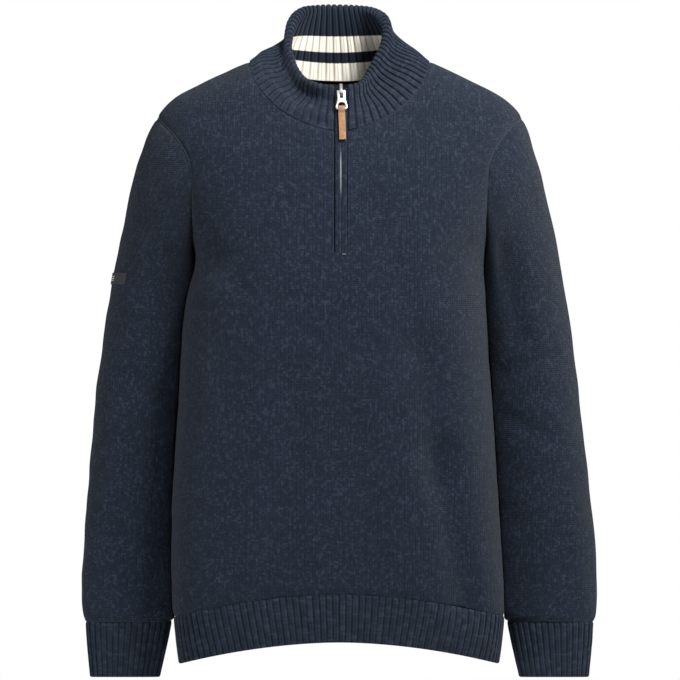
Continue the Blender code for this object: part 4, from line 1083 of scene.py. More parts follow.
def make_panel(name, face, layers):
    grid, facing, mapped = layers
    half = SHOULDER_COLUMNS + NECK_COLUMNS

    def kept(row, column):
        in_slit = (column >= half) & (column < half + SLIT_COLUMNS)
        return (row < WAIST_ROWS) | ~in_slit if face == FRONT else row >= 0

    made = cloth(name + "_knit", grid, grid - KNIT * facing, mapped, (knit.material, purl.material), kept=kept)
    return belongs(made, name)


panels = {face: panel_layers(face) for face in (FRONT, BACK)}
front_panel = make_panel("front_panel", FRONT, panels[FRONT])
back_panel = make_panel("back_panel", BACK, panels[BACK])

# %% [markdown]
# ## Sleeves
# A sleeve is knitted flat and sewn into a tube along the underarm, so its stitch map starts and ends there. Its folds
# are shallow: one starts at the underarm, a few run across the inside of the elbow, and one or two run down towards
# the cuff.

# %% The two sleeves
LAST_RING = SLEEVE.keys[-1]
BESIDE_BODY = (182, 8)  # where the sleeve leaves the side of the body, and over how many millimetres


def sleeve_layers(side):
    """A sleeve's outer points, which way its wall faces, and its stitch map."""
    rings = np.linspace(0, LAST_RING, SLEEVE_STEPS + 1)
    grid = sleeve_grid(side, rings)
    facing = grid_normals(grid, True, -side)
    count, middle = grid.shape[1], SLEEVE.at("middle_y", rings)[:, None]
    around = np.linalg.norm(np.roll(grid, -1, axis=1) - grid, axis=-1)
    from_top = np.cumsum(around, axis=1) - around
    ahead = np.where(np.arange(count) < count // 2, from_top, from_top - around.sum(axis=1, keepdims=True))
    depth = 0.5 * uneven(grid, 80, 7 + side) + 0.35 * uneven(grid, 36, 9 + side)
    for fold_side, face, top, bottom, deep, half in SLEEVE_FOLDS:
        if fold_side == side:
            here = (grid[..., 1] - middle) * face > 0
            depth = depth + deep * trough(grid[..., [0, 2]], top, bottom, half) * here
    fade = np.clip(np.minimum(rings / 0.6, (LAST_RING - rings) / 0.4), 0, 1)[:, None]
    dip = seam_dip(from_edges(grid, sides=False)) * (1 - by_the_underarm(grid))
    clear = np.clip((np.abs(grid[..., 0]) - BESIDE_BODY[0]) / BESIDE_BODY[1], 0, 1)  # of the body's side
    depth = depth * fade * np.maximum(clear, 1 - by_the_underarm(grid)) + dip
    _, wall_facing, away = armhole_seam(side)
    outer = grid - depth[..., None] * facing
    outer[0] += SEAM / 2 * away
    blended(facing, lambda k: k, wall_facing)
    turn = -(count // 2)
    outer, facing, ahead, around = (np.roll(v, turn, axis=1) for v in (outer, facing, ahead, around))
    ahead = np.hstack([ahead, ahead[:, :1] + around.sum(axis=1, keepdims=True)])
    up = np.hstack([outer[..., 2], outer[:, :1, 2]])
    return outer, facing, np.stack([ahead / WALE, up / COURSE], axis=-1)


def make_sleeve(name, layers):
    outer, facing, mapped = layers
    made = cloth(name + "_knit", outer, outer - KNIT * facing, mapped, (knit.material, purl.material))
    return belongs(made, name)


right_layers = sleeve_layers(RIGHT)
sleeve_left = make_sleeve("sleeve_left", sleeve_layers(LEFT))
sleeve_right = make_sleeve("sleeve_right", right_layers)

# %% [markdown]
# ## Ribbed cuffs and hem
# Each band starts at its seam, where the stitches of the panel are linked to it, so the ribs begin there as small
# round knobs. It ends in a soft edge with no seam. The section of a rib is a broad round ridge with a narrow, deep
# groove beside it, given here as a height round the band.

# %% The section of a rib
RIB_STEPS = 10
EDGE_ROWS = (0.0, 0.12, 0.35, 0.7, 1.1)  # rows close together at a band's free edge, in half thicknesses
BAND_ROWS = 26
KNOB_HEIGHT = 3.2  # how far below the seam a rib has its whole height


def ridge(places):
    """Height of the rib across its width, 0 in the groove and 1 on the crest; places count ribs."""
    aside = np.abs(np.mod(places, 1.0) - 0.5) * 2
    return np.clip(1 - aside**2.5, 0, 1) ** 0.9


def band_rows(height):
    """Distances from the free edge of a band up to its seam."""
    close = np.array(EDGE_ROWS) * (RIB_BASE + RIB_HEIGHT) / 2
    return np.concatenate([close[:-1], np.linspace(close[-1], height, BAND_ROWS)])


def ribbed(node, base, facing, rows, ribs, closed):
    """A ribbed band: base is its outer surface, rows are distances from its free edge, the last at the seam."""
    half_thick = (RIB_BASE + RIB_HEIGHT) / 2
    inside = np.clip(half_thick - rows, 0, None)
    half = np.sqrt(np.maximum(half_thick**2 - inside**2, 0.02))[:, None]
    full = half / half_thick
    middle = base - half_thick * facing
    count = base.shape[1]
    places = np.arange(count) / (count if closed else count - 1) * ribs
    knob = np.clip((rows[-1] - rows) / KNOB_HEIGHT, 0, 1)[:, None] ** 0.5
    tall = RIB_HEIGHT * (1 + 0.06 * uneven(base, 26, 11)) * full * (0.2 + 0.8 * knob)
    outer = middle + (half - RIB_HEIGHT * full + tall * ridge(places))[..., None] * facing
    inner = middle - (half - 0.5 * RIB_HEIGHT * full + 0.5 * tall * ridge(places + 0.5))[..., None] * facing
    across = np.broadcast_to(np.linspace(0, ribs, count + closed), (len(rows), count + closed))
    up = np.broadcast_to(rows[:, None] / COURSE, across.shape)
    finishes = (rib.material, rib.material)
    made = cloth(node + "_knit", outer, inner, np.stack([across, up], axis=-1), finishes)
    return belongs(made, node)


# %% The cuffs
def cuff_ring(side, z, places):
    angle = np.linspace(0, 2 * math.pi, 720)
    power = CUFF.at("power", z)
    outer, inner = CUFF.at("outer_x", z), CUFF.at("inner_x", z)
    across = np.sign(np.cos(angle)) * np.abs(np.cos(angle)) ** (2 / power)
    forward = np.sign(np.sin(angle)) * np.abs(np.sin(angle)) ** (2 / power)
    x = side * ((outer + inner) / 2 + across * (outer - inner) / 2)
    y = CUFF.at("middle_y", z) - CUFF.at("half_depth", z) * forward
    return at_places(np.stack([x, y, np.full_like(x, z)], axis=1), places)


def make_cuff(name, side):
    rows = band_rows(CUFF.keys[-1] - CUFF.keys[0])
    places = np.arange(CUFF_RIBS * RIB_STEPS) / (CUFF_RIBS * RIB_STEPS)
    base = np.array([cuff_ring(side, CUFF.keys[0] + row, places) for row in rows])
    facing = unit(grid_normals(base, True, side) * [1, 1, 0])
    return ribbed(name, base, facing, rows, CUFF_RIBS, True)


cuff_left = make_cuff("cuff_left", LEFT)
cuff_right = make_cuff("cuff_right", RIGHT)

# %% The two halves of the hem
HEM_LEAN = 0.010  # how far the ribs lean in towards the middle on their way down, as a share of the half's width


def make_hem(name, face):
    rows = band_rows(HEM_HEIGHT - SEAM / 2)
    places = np.linspace(0, 1, HEM_RIBS * RIB_STEPS + 1)
    base = []
    for row in rows:
        drop = HEM_HEIGHT - row
        halves = []
        for side in (RIGHT, LEFT):
            flat = slice_at(side, face, np.full_like(DENSE, HEM_SEAM_Z - drop), DENSE)
            halves.append(slice_at(side, face, hem_seam_z(flat[:, 0]) - drop, DENSE))
        line = np.vstack([halves[0], halves[1][-2::-1]])
        base.append(at_places(line, places + HEM_LEAN * drop / HEM_HEIGHT * np.sin(2 * math.pi * places)))
    base = np.array(base)
    facing = unit(form_normal(base) * [1, 1, 0])
    base += (rows / rows[-1])[:, None, None] * (creased(base, facing) - base)  # the folds die out below the seam
    base[:, [0, -1], 1] += face * SEAM / 2
    return ribbed(name, base, facing, rows, HEM_RIBS, False)


hem_front = make_hem("hem_rib_front", FRONT)
hem_back = make_hem("hem_rib_back", BACK)

# %% [markdown]
# ## The collar
# The collar is made as one closed skin: up the outside, over the rolled top edge and down the inside. Its ribs run
# all the way, so the top edge is a row of round beads. The inside has the cream bands.

# %% Rows of the collar's skin
OUTSIDE_RISES = np.linspace(0, 1, 30)
ROLL_TURNS = np.linspace(15, 165, 11)
INSIDE_RISES = np.linspace(0.97, 0, 28)
COLLAR_COLUMNS = COLLAR_RIBS * RIB_STEPS + 1


def collar_skin():
    """Rows of points up the outside, over the roll and down the inside, and the way each faces."""
    outer, facing, up = collar_layers(COLLAR_COLUMNS, OUTSIDE_RISES)
    outer = outer - recess(COLLAR_COLUMNS, OUTSIDE_RISES) * facing
    ring, wall_facing, away = neck_seam()
    length = np.concatenate([[0], np.cumsum(np.linalg.norm(np.diff(ring, axis=0), axis=1))])
    places = np.linspace(0, length[-1], COLLAR_COLUMNS)
    for values, row in ((ring + SEAM / 2 * away, outer), (wall_facing, facing)):
        row[0] = np.stack([np.interp(places, length, column) for column in values.T], axis=1)
    middle = outer[-1] - ROLL_THICK / 2 * facing[-1]
    turns = [math.cos(math.radians(a)) * facing[-1] + math.sin(math.radians(a)) * up for a in ROLL_TURNS]
    roll = [middle + ROLL_THICK / 2 * turn for turn in turns]
    plain, plain_facing, _ = collar_layers(COLLAR_COLUMNS, INSIDE_RISES)
    plain[-1], plain_facing[-1] = outer[0], facing[0]
    drawn_in = recess(COLLAR_COLUMNS, INSIDE_RISES) + WALL_UNDER_ROLL
    inside = plain - np.maximum(collar_thick(INSIDE_RISES), drawn_in) * plain_facing
    return np.concatenate([outer, roll, inside]), unit(np.concatenate([facing, turns, -plain_facing]))


def shares_up(rows):
    """How far up each row is, from 0 at the first to 1 at the last, along every column."""
    steps = np.linalg.norm(np.diff(rows, axis=0), axis=-1)
    length = np.concatenate([np.zeros((1, rows.shape[1])), np.cumsum(steps, axis=0)])
    return length / length[-1:]


# %% The collar
def stepped_pairs(first, second):
    """Pairs of steps along two lines of different counts, which together fill the space between them."""
    steps = max(len(first), len(second)) - 1
    even = [[line[round(k * (len(line) - 1) / steps)] for k in range(steps + 1)] for line in (first, second)]
    return [(even[0][k:k + 2], even[1][k:k + 2]) for k in range(steps)]


def make_collar():
    rows, normals = collar_skin()
    total, columns = rows.shape[:2]
    top = len(OUTSIDE_RISES) + len(ROLL_TURNS) // 2
    places = np.linspace(0, COLLAR_RIBS, columns)
    relief = np.concatenate([
        np.clip(OUTSIDE_RISES / 0.06, 0.2, 1),
        np.full(len(ROLL_TURNS), 1.15),
        np.clip(INSIDE_RISES / 0.10, 0.0, 0.6),
    ])[:, None]
    tall = RIB_HEIGHT * 1.25 * relief * (ridge(places) - 1.0) + 0.25 * uneven(rows, 30, 21)
    points = rows + tall[..., None] * normals
    share = np.concatenate([shares_up(rows[: top + 1]), shares_up(rows[:top:-1])[::-1]])
    mapped = np.stack([np.broadcast_to(places, share.shape), share * COLLAR_STITCH_ROWS], axis=-1)
    row, column = np.meshgrid(np.arange(total), np.arange(columns - 1), indexing="ij")
    row, column = row.ravel(), column.ravel()
    after = (row + 1) % total
    quads = np.stack([row * columns + column, row * columns + column + 1,
                      after * columns + column + 1, after * columns + column], axis=1)
    corners = np.stack([mapped[row, column], mapped[row, column + 1],
                        mapped[after, column + 1], mapped[after, column]], axis=1).reshape(-1, 2).tolist()
    faces, which = quads.tolist(), ((row >= top) & (row < total - 1)).astype(int).tolist()
    for column in (0, columns - 1):
        for outside, inside in stepped_pairs(range(top + 1), range(total - 1, top, -1)):
            face = list(dict.fromkeys([*outside, *inside[::-1]]))
            faces.append([n * columns + column for n in face])
            corners += [mapped[n, column].tolist() for n in face]
            which.append(0)
    made = piece_from("collar_knit", points.reshape(-1, 3), faces, corners, (rib.material, banded.material), which)
    mesh = bmesh.new()
    mesh.from_mesh(made.data)
    bmesh.ops.recalc_face_normals(mesh, faces=mesh.faces)
    mesh.to_mesh(made.data)
    mesh.free()
    print("collar_knit:", sum(len(face.vertices) - 2 for face in made.data.polygons), "triangles")
    return belongs(made, "collar")


collar = make_collar()

# %% [markdown]
# ## The zip
# Two narrow knitted strips cover the zip's tape, one on each side, from its foot to the top of the collar. They
# nearly meet, and stand a little apart half way up, where the teeth show. Two rows of nickel teeth that grip each
# other run up behind them to the slider.

# %% Lines up the zip
ZIP_ROWS, COLLAR_ZIP_ROWS = 66, 44
PARTED_CLOSED, PARTED_TEETH, PARTED_SLIDER = 0.02, 2.2, 6.0
TEETH_Z, TEETH_REACH, PARTED_SLIDER_Z = -133.0, 26.0, -44.0


def zip_lines():
    """The two edges of the zip's opening from its foot to the top of the collar, and which way they face."""
    z = np.linspace(SLIT_Z, -NECK_DROP_FRONT, ZIP_ROWS)[:-1]
    body = [form_at(np.full_like(z, ZIP_X + side * SLIT_WIDTH / 2), z, FRONT) for side in (RIGHT, LEFT)]
    rises = np.linspace(0, 1, COLLAR_ZIP_ROWS)
    sheet, facing, _ = collar_layers(COLLAR_FINE, rises)
    sheet = sheet - recess(COLLAR_FINE, rises) * facing
    right, left = np.vstack([body[0], sheet[:, -1]]), np.vstack([body[1], sheet[:, 0]])
    faces = [np.vstack([form_normal(body[k]), facing[:, k - 1]]) for k in (0, 1)]
    return right, left, unit((faces[0] + faces[1]) * [0, 1, 1])


def zip_place(lines, across, deep):
    """Points up the zip: across is from its middle, deep is how far under the surface of the knit."""
    right, left, facing = lines
    share = (np.asarray(across) / SLIT_WIDTH + 0.5).reshape(-1, 1)
    return right + share * (left - right) - np.asarray(deep).reshape(-1, 1) * facing


def parting(z):
    """How far the two strips stand apart: more round the slider, and where the teeth show."""
    slider = PARTED_SLIDER / (1 + np.exp((PARTED_SLIDER_Z - z) / 2))
    teeth = PARTED_TEETH * np.exp(-(((z - TEETH_Z) / TEETH_REACH) ** 4))
    return PARTED_CLOSED + slider + teeth


# %% The two knitted strips
STRIP_SECTION = ((0.0, 0.7), (0.06, 0.25), (0.18, 0.05), (0.4, 0.0), (0.6, 0.0), (0.76, 0.06), (0.9, 0.4), (1.0, 1.1))


def make_strip(name, side, lines):
    """A strip with soft edges; the section gives shares across it and how far its face drops there."""
    heights = lines[0][:, 2]
    far = side * (SLIT_WIDTH / 2 - STRIP_GAPS[side])
    near = side * parting(heights) / 2
    front, back, across = [], [], []
    for share, dropped in STRIP_SECTION:
        place = far + share * (near - far)
        front.append(zip_place(lines, place, np.full_like(heights, STRIP_RECESS + dropped)))
        back.append(zip_place(lines, place, np.full_like(heights, STRIP_RECESS + STRIP_THICK - dropped * 0.4)))
        across.append(share * 2.0 * np.ones_like(heights))
    front, back = (np.stack(grid, axis=1) for grid in (front, back))
    up = shares_up(front) * np.linalg.norm(np.diff(front, axis=0), axis=-1).sum(axis=0) / COURSE
    mapped = np.stack([np.stack(across, axis=1), up], axis=-1)
    made = cloth(name + "_knit", front, back, mapped, (knit.material, knit.material))
    return belongs(made, name)


zip_edges = zip_lines()
strip_right = make_strip("placket_right", RIGHT, zip_edges)
strip_left = make_strip("placket_left", LEFT, zip_edges)

# %% Two rows of teeth
CHAIN_TOP_Z, CHAIN_DEEP, TEETH_PITCH = -50.5, 4.3, 1.35
TOOTH_SIZE, TOOTH_ASIDE, TOOTH_SOFT = (1.15, 0.48, 0.95), 0.55, 0.16  # half sizes, and how far it is from the middle


def add_box(mesh, centre, right, up, out, size):
    """A small block in a mesh being built."""
    corners = [mesh.verts.new((centre + sum(s * h * axis for s, h, axis in zip(signs, size, (right, up, out)))) * MM)
               for signs in ((-1, -1, -1), (1, -1, -1), (1, 1, -1), (-1, 1, -1),
                             (-1, -1, 1), (1, -1, 1), (1, 1, 1), (-1, 1, 1))]
    sides = ((0, 3, 2, 1), (4, 5, 6, 7), (0, 1, 5, 4), (1, 2, 6, 5), (2, 3, 7, 6), (3, 0, 4, 7))
    return [mesh.faces.new([corners[k] for k in side]) for side in sides]


def make_teeth():
    middle = zip_place(zip_edges, np.zeros(len(zip_edges[0])), np.full(len(zip_edges[0]), CHAIN_DEEP))
    keep = middle[:, 2] < CHAIN_TOP_Z
    middle, facing = middle[keep], zip_edges[2][keep]
    length = np.concatenate([[0], np.cumsum(np.linalg.norm(np.diff(middle, axis=0), axis=1))])
    mesh = bmesh.new()
    count = int((length[-1] - 2) / TEETH_PITCH)
    for k in range(count):
        at = 1 + k * TEETH_PITCH
        place, out = (np.array([np.interp(at, length, column) for column in values.T]) for values in (middle, facing))
        out = unit(out)
        side = 1 if k % 2 else -1
        centre = place + side * np.array([TOOTH_ASIDE, 0, 0])
        add_box(mesh, centre, np.array([1.0, 0, 0]), np.cross(out, [1, 0, 0]), out, TOOTH_SIZE)
    bmesh.ops.bevel(mesh, geom=list(mesh.edges), offset=TOOTH_SOFT * MM, segments=1, affect="EDGES")
    bmesh.ops.recalc_face_normals(mesh, faces=mesh.faces)
    data = bpy.data.meshes.new("zip_teeth")
    mesh.to_mesh(data)
    mesh.free()
    made = bpy.data.objects.new("zip_teeth", data)
    data.materials.append(teeth_metal.material)
    bpy.context.collection.objects.link(made)
    print("zip_teeth:", count, "teeth")
    return belongs(made, "zip_chain")


teeth = make_teeth()

# %% The tapes are the part's own solids, with a woven finish
for name in ("zip_tape_left", "zip_tape_right"):
    node = bpy.data.objects[name]
    node.data.materials.clear()
    node.data.materials.append(tape.material)
print("the zip's tapes are finished")

# %% The bartack that ends the zip
BARTACK_PLACE, BARTACK_SIZE, BARTACK_STITCHES = (5.3, -230.2), (4.8, 0.9, 1.2), 7

bpy.ops.object.select_all(action="DESELECT")
bpy.ops.mesh.primitive_cube_add(size=1.0)
bartack = bpy.context.object
bartack.name = "zip_bartack"
bartack.scale = [size * MM for size in BARTACK_SIZE]
point = form_at(*np.array(BARTACK_PLACE)[:, None], FRONT)[0]
bartack.location = (point + [0, 0.2, 0]) * MM
bpy.ops.object.transform_apply(location=True, rotation=True, scale=True)
bpy.ops.object.mode_set(mode="EDIT")
bpy.ops.mesh.select_all(action="SELECT")
bpy.ops.mesh.bevel(offset=0.3 * MM, segments=2)
bpy.ops.object.mode_set(mode="OBJECT")
thread = Finish("pale_bartack_thread", (0.34, 0.35, 0.36), roughness=0.8)
along_it = thread.split(thread.place(), 0)
stitches = (along_it * (2 * math.pi * BARTACK_STITCHES / (BARTACK_SIZE[0] * MM))).math("SINE") * 0.5 + 0.5
thread.paint(thread.mix(stitches, (0.03, 0.034, 0.045), (0.13, 0.14, 0.16)))
thread.bump(stitches, 0.2 * MM)
bartack.data.materials.append(thread.material)
belongs(bartack, None)
print("the bartack is", BARTACK_SIZE[0], "mm long")

# %% [markdown]
# ## Slider, pull and leather tab
# These are small solid things, already right in the part. Copies of them get rounded edges, as a die-cast slider and
# cut leather have, and then their finishes. The pull and the tab move together.

# %% Copies of the part's solids with rounded edges
FLAT, BENT, SHARP = math.radians(1), math.radians(38), math.radians(50)


def softened(node, name, finishes, radius, finish_of=None):
    """A copy of a node with its triangles joined into faces and its edges rounded."""
    source = bpy.data.objects[node]
    data = source.data.copy()
    data.name = name
    data.transform(source.matrix_world)
    data.materials.clear()
    for finish in finishes:
        data.materials.append(finish.material)
    mesh = bmesh.new()
    mesh.from_mesh(data)
    bmesh.ops.remove_doubles(mesh, verts=mesh.verts, dist=0.002 * MM)
    bmesh.ops.dissolve_limit(mesh, angle_limit=FLAT, verts=mesh.verts, edges=mesh.edges)
    bent = [e for e in mesh.edges if len(e.link_faces) == 2 and e.calc_face_angle() > BENT]
    bmesh.ops.bevel(mesh, geom=bent, offset=radius * MM, segments=3, profile=0.5, affect="EDGES", clamp_overlap=True)
    if finish_of:
        mesh.normal_update()
        for face in mesh.faces:
            face.material_index = finish_of(face)
    bmesh.ops.triangulate(mesh, faces=[f for f in mesh.faces if len(f.verts) > 4])
    mesh.to_mesh(data)
    mesh.free()
    data.shade_smooth()
    data.set_sharp_from_angle(angle=SHARP)
    made = bpy.data.objects.new(name, data)
    bpy.context.collection.objects.link(made)
    print(f"{name}: {sum(len(f.vertices) - 2 for f in data.polygons)} triangles")
    return made


slider = belongs(softened("zip_slider", "zip_slider_metal", (nickel,), 0.35), "zip_slider")
pull = softened("zip_pull", "zip_pull_metal", (nickel,), 0.32)
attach(pull, "pull")
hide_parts("zip_pull")


def on_cut_edge(face):
    return int(abs(face.normal.x) > 0.75)


tab = softened("pull_leather", "pull_leather_tab", (leather, leather_edge), 0.22, on_cut_edge)
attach(tab, "pull")
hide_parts("pull_leather")

# %% [markdown]
# ## Label and neck tape
# A small woven label is sewn round the outside of the right sleeve, and a woven tape covers the collar's seam inside
# the back of the neck. Both follow the cloth that they are sewn to. The label has no writing, only plain woven bars.

# %% The woven label
LABEL_HEIGHTS, LABEL_THICK, LABEL_LIFT = (-266.0, -252.0), 0.8, 0.5
LABEL_PLACES = (-0.28 / 22, 2.95 / 22)  # shares of the way round the sleeve, from its outermost line
LABEL_COLUMNS, LABEL_ROWS = 40, 13
LABEL_BARS, LABEL_INSET = ((0.30, 0.37), (0.46, 0.53), (0.62, 0.69)), (0.60, 2.06)
BAR_SOFT = 0.02

label_finish = Finish("black_woven_label", (0.012, 0.012, 0.014), roughness=0.85)


def woven_bars(finish):
    """Fine black twill with a few plain pale bars woven in."""
    across, up = finish.split(finish.stitches(), 0, 1)
    twill = ((across * 38.0 + up * 38.0) * (2 * math.pi)).math("SINE") * 0.5 + 0.5

    def inside(value, low, high):
        return value.between(low, low + BAR_SOFT) * (1.0 - value.between(high, high + BAR_SOFT))

    bars = 0.0
    for low, high in LABEL_BARS:
        bars = inside(up, low, high) + bars
    inset = inside(across, *LABEL_INSET)
    cloth_colour = finish.mix(twill, (0.006, 0.006, 0.008), (0.022, 0.022, 0.026))
    thread_colour = finish.mix(twill, (0.30, 0.30, 0.29), (0.62, 0.61, 0.58))
    finish.paint(finish.mix(bars * inset, cloth_colour, thread_colour))
    finish.bump(twill, 0.1 * MM)


woven_bars(label_finish)


def make_label():
    outer, facing, _ = right_layers
    count = outer.shape[1]
    columns = []
    for place in np.linspace(*LABEL_PLACES, LABEL_COLUMNS):
        at = (place + 0.5) % 1.0 * count
        low, part = int(at), at % 1.0
        both = [(1 - part) * v[:, low % count] + part * v[:, (low + 1) % count] for v in (outer, facing)]
        order = np.argsort(both[0][:, 2])
        heights = np.linspace(*LABEL_HEIGHTS, LABEL_ROWS)
        columns.append([[np.interp(heights, both[0][order, 2], v[order, k]) for k in range(3)] for v in both])
    points, out = np.array(columns).transpose(1, 3, 0, 2)
    inner = points + LABEL_LIFT * unit(out)
    length = np.linalg.norm(np.diff(points, axis=1), axis=-1)[0].sum()
    across = np.linspace(0, length / (LABEL_HEIGHTS[1] - LABEL_HEIGHTS[0]), LABEL_COLUMNS)
    mapped = np.stack(np.meshgrid(across, np.linspace(0, 1, LABEL_ROWS)), axis=-1)
    finishes = (label_finish.material, label_finish.material)
    made = cloth("sleeve_label_woven", inner + LABEL_THICK * unit(out), inner, mapped, finishes)
    print("the label is", round(float(length), 1), "mm long")
    return belongs(made, "sleeve_label")


label = make_label()

# %% The tape inside the back neck
NECK_TAPE_HALF, NECK_TAPE_DROPS, NECK_TAPE_THICK, NECK_TAPE_LIFT = 62.0, (11.0, 3.5), 0.8, 0.8


def make_neck_tape():
    x = np.linspace(-NECK_TAPE_HALF, NECK_TAPE_HALF, 64)
    seam_z = -NECK_DROP_BACK * (1 - (x / NECK_HALF_WIDTH) ** 2)
    line = np.array([form_at(x, seam_z - drop, BACK) for drop in np.linspace(*NECK_TAPE_DROPS, 6)])
    facing = form_normal(line)
    outer = creased(line, facing) - (KNIT + NECK_TAPE_LIFT) * facing
    mapped = np.stack([line[..., 0] / WALE, line[..., 2] / COURSE], axis=-1)
    finishes = (neck_cloth.material, neck_cloth.material)
    made = cloth("neck_tape_woven", outer, outer - NECK_TAPE_THICK * facing, mapped, finishes)
    return belongs(made, "neck_tape")


neck_tape = make_neck_tape()

# %% [markdown]
# ## The yarn of the seams
# The pieces are linked together with a chain of the same yarn. In every seam a plain round yarn stands for it, which
# lies between the two edges, in the middle of the cloth's thickness, so a seam shows as a fine dark line instead of a
# gap. At the hem, where the ribs begin as knobs with gaps between them, a thicker one lies just inside.

# %% Linking yarn along a line
YARN_SIDES, YARN_STEPS = 8, 320
seam_finish = Finish("dark_linking_yarn", NAVY_DEEP, roughness=0.95)
seam_finish.paint(seam_finish.mix(seam_finish.noise(2200.0, 2.0), NAVY_DEEP, NAVY))


def seam_yarn(name, line, radius, closed=False):
    """A round yarn along a line of points, which runs all the way round or ends in flat caps."""
    line = spaced(np.vstack([line, line[:1]]) if closed else line, YARN_STEPS)
    if closed:
        line = line[:-1]
        along = unit(np.roll(line, -1, axis=0) - np.roll(line, 1, axis=0))
    else:
        along = unit(np.gradient(line, axis=0))
    first = unit(np.cross(along, [0.13, 0.31, 0.94]))  # square to the yarn, and to a way that no seam runs
    second = np.cross(along, first)
    turn = np.arange(YARN_SIDES) * 2 * math.pi / YARN_SIDES
    round_it = np.cos(turn)[:, None, None] * first + np.sin(turn)[:, None, None] * second
    points = line + radius * round_it
    count = len(line)
    rows, columns = np.meshgrid(np.arange(YARN_SIDES), np.arange(count if closed else count - 1), indexing="ij")
    rows, columns = rows.ravel(), columns.ravel()
    below, after = (rows + 1) % YARN_SIDES, (columns + 1) % count
    corners = ((rows, columns), (rows, after), (below, after), (below, columns))
    faces = np.stack([row * count + column for row, column in corners], axis=1)[:, ::-1].tolist()
    if not closed:
        ends = np.arange(YARN_SIDES) * count
        faces += [ends.tolist(), (ends[::-1] + count - 1).tolist()]
    made = piece_from(name, points.reshape(-1, 3), faces, finishes=(seam_finish.material,))
    return belongs(made, None)


# %% The yarns of the armholes, the cuffs and the neck
WALL_YARN, CUFF_YARN, NECK_YARN = 0.62 * KNIT / 2, 0.9, 0.55 * KNIT / 2  # radii
CUFF_YARN_DEEP, NECK_YARN_DEEP = 1.5, 0.62 * KNIT
seams = []
for name, side in (("armhole_seam_left", LEFT), ("armhole_seam_right", RIGHT)):
    ring, facing, _ = armhole_seam(side)
    seams.append(seam_yarn(name, ring - KNIT / 2 * facing, WALL_YARN, closed=True))
for name, side in (("cuff_seam_left", LEFT), ("cuff_seam_right", RIGHT)):
    ring = cuff_ring(side, CUFF.keys[-1], np.arange(240) / 240)
    facing = unit(grid_normals(np.array([ring, ring + [0, 0, 1.0]]), True, side)[0] * [1, 1, 0])
    seams.append(seam_yarn(name, ring - CUFF_YARN_DEEP * facing, CUFF_YARN, closed=True))
ring, facing, _ = neck_seam()
seams.append(seam_yarn("neck_seam", ring[2:-2] - NECK_YARN_DEEP * facing[2:-2], NECK_YARN))
print("seams so far:", ", ".join(seam.name for seam in seams))


# %% The yarns of the shoulders, the sides and the hem
HEM_YARN, HEM_YARN_DEEP, HEM_YARN_DROP = 1.9, KNIT + 0.6, 1.4
HEM_SIDE_YARN, HEM_SIDE_DEEP, HEM_SIDE_STEPS, HEM_SIDE_END = 0.8, 1.5, 12, 0.5
JOINED = {
    "shoulder_seam_right": (-1, slice(0, SHOULDER_COLUMNS + 1)),
    "shoulder_seam_left": (-1, slice(-SHOULDER_COLUMNS - 1, None)),
    "side_seam_right": (slice(0, WAIST_ROWS + 1), 0),
    "side_seam_left": (slice(0, WAIST_ROWS + 1), -1),
}


def inside_wall(face, place):
    """Points in the middle of a panel's thickness, along one of its edges."""
    grid, facing, _ = panels[face]
    return grid[place] - KNIT / 2 * facing[place]


for name, place in JOINED.items():
    line = (inside_wall(FRONT, place) + inside_wall(BACK, place)) / 2
    seams.append(seam_yarn(name, line, WALL_YARN))
for name, face in (("hem_seam_front", FRONT), ("hem_seam_back", BACK)):
    grid, facing, _ = panels[face]
    seams.append(seam_yarn(name, grid[0] - HEM_YARN_DEEP * facing[0] - [0, 0, HEM_YARN_DROP], HEM_YARN))
for name, side in (("hem_side_seam_right", RIGHT), ("hem_side_seam_left", LEFT)):
    line = []
    for drop in np.linspace(SEAM, HEM_HEIGHT - HEM_SIDE_END, HEM_SIDE_STEPS):
        flat = slice_at(side, FRONT, np.full_like(DENSE, HEM_SEAM_Z - drop), DENSE)
        edge = slice_at(side, FRONT, hem_seam_z(flat[:, 0]) - drop, DENSE)[0]
        line.append(edge - [side * HEM_SIDE_DEEP, 0, 0])
    seams.append(seam_yarn(name, np.array(line), HEM_SIDE_YARN))
print(len(seams), "linked seams")

# %% [markdown]
# ## Every piece of cloth is made

# %% Every piece of cloth is made
print("every piece of cloth is made")

# %% [markdown]
# ## Light, floor and camera
# The sweater hangs in a plain bright studio, with a pale floor far below it. A soft key light stands above it on the
# right of the picture, a broad light lower down on the same side, and a weak, narrow fill on the left, from below.
# The camera looks level at the front with a long lens, so that nothing is stretched.


# %% Light and floor
def area_light(name, place, target, size, power, spread=180):
    data = bpy.data.lights.new(name, "AREA")
    data.shape, data.size, data.energy, data.spread = "DISK", size, power, math.radians(spread)
    made = bpy.data.objects.new(name, data)
    bpy.context.collection.objects.link(made)
    made.location = place
    direction = np.array(target) - np.array(place)
    made.rotation_euler = mathutils.Vector(direction).to_track_quat("-Z", "Y").to_euler()
    return made


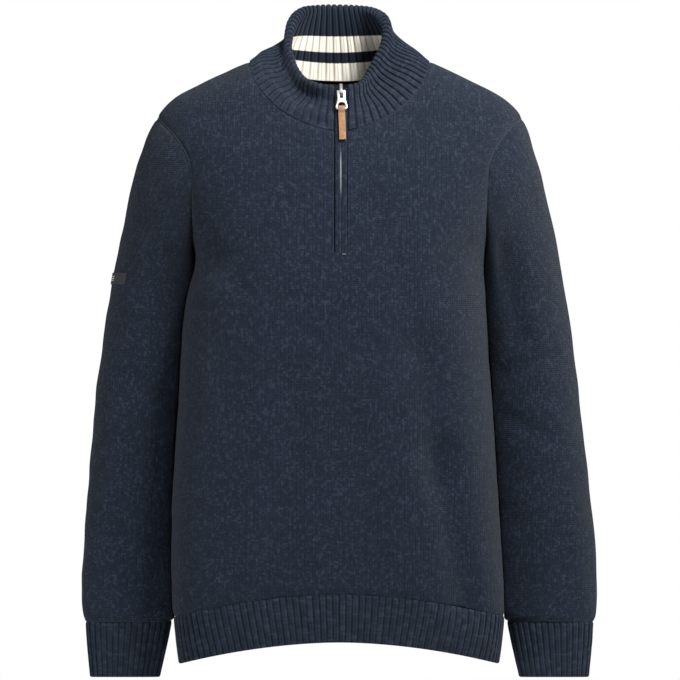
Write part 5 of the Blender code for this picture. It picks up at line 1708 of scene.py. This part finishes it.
key = area_light("key_light", (1.0, -1.28, 1.5), (0, 0, 0.05), 0.6, 73, spread=140)
side = area_light("side_light", (2.1, -1.4, 0.8), (0, 0, -0.32), 1.0, 40)
fill = area_light("fill_light", (-1.9, -1.7, -0.9), (-0.28, 0, -0.42), 1.0, 4.5, spread=50)

world = bpy.data.worlds.new("studio")
bpy.context.scene.world = world
world.use_nodes = True
tree = world.node_tree
background = tree.nodes["Background"]
seen_white = tree.nodes.new("ShaderNodeBackground")
seen_white.inputs["Color"].default_value = (1, 1, 1, 1)
seen_white.inputs["Strength"].default_value = 1.0
background.inputs["Color"].default_value = (0.93, 0.96, 1.0, 1)
background.inputs["Strength"].default_value = 0.40
rays, either = tree.nodes.new("ShaderNodeLightPath"), tree.nodes.new("ShaderNodeMixShader")
tree.links.new(rays.outputs["Is Camera Ray"], either.inputs[0])
tree.links.new(background.outputs[0], either.inputs[1])
tree.links.new(seen_white.outputs[0], either.inputs[2])
tree.links.new(either.outputs[0], tree.nodes["World Output"].inputs["Surface"])

bpy.ops.mesh.primitive_circle_add(vertices=64, radius=1.8, fill_type="NGON", location=(0, 0, -1.45))
floor = bpy.context.object
floor.name = "floor"
pale = Finish("pale_floor", (0.80, 0.80, 0.79), roughness=0.8)
floor.data.materials.append(pale.material)

# %% Camera
PICTURE_WIDTH, CAMERA_AWAY, SENSOR_WIDTH = 0.809, 32.0, 36
MIDDLE_X, MIDDLE_Z = 0.0006, -0.332  # the place on the sweater that is in the middle of the picture
camera_data = bpy.data.cameras.new("camera")
camera_data.sensor_width = SENSOR_WIDTH
camera_data.lens = SENSOR_WIDTH * CAMERA_AWAY / PICTURE_WIDTH
camera_data.clip_end = 200
camera = bpy.data.objects.new("camera", camera_data)
bpy.context.collection.objects.link(camera)
camera.location = (MIDDLE_X, -CAMERA_AWAY, MIDDLE_Z)
camera.rotation_euler = (math.pi / 2, 0, 0)
bpy.context.scene.camera = camera
bpy.context.scene.view_settings.view_transform = "Standard"
bpy.context.scene.view_settings.look = "None"
print("the picture is", PICTURE_WIDTH, "m wide at the sweater")
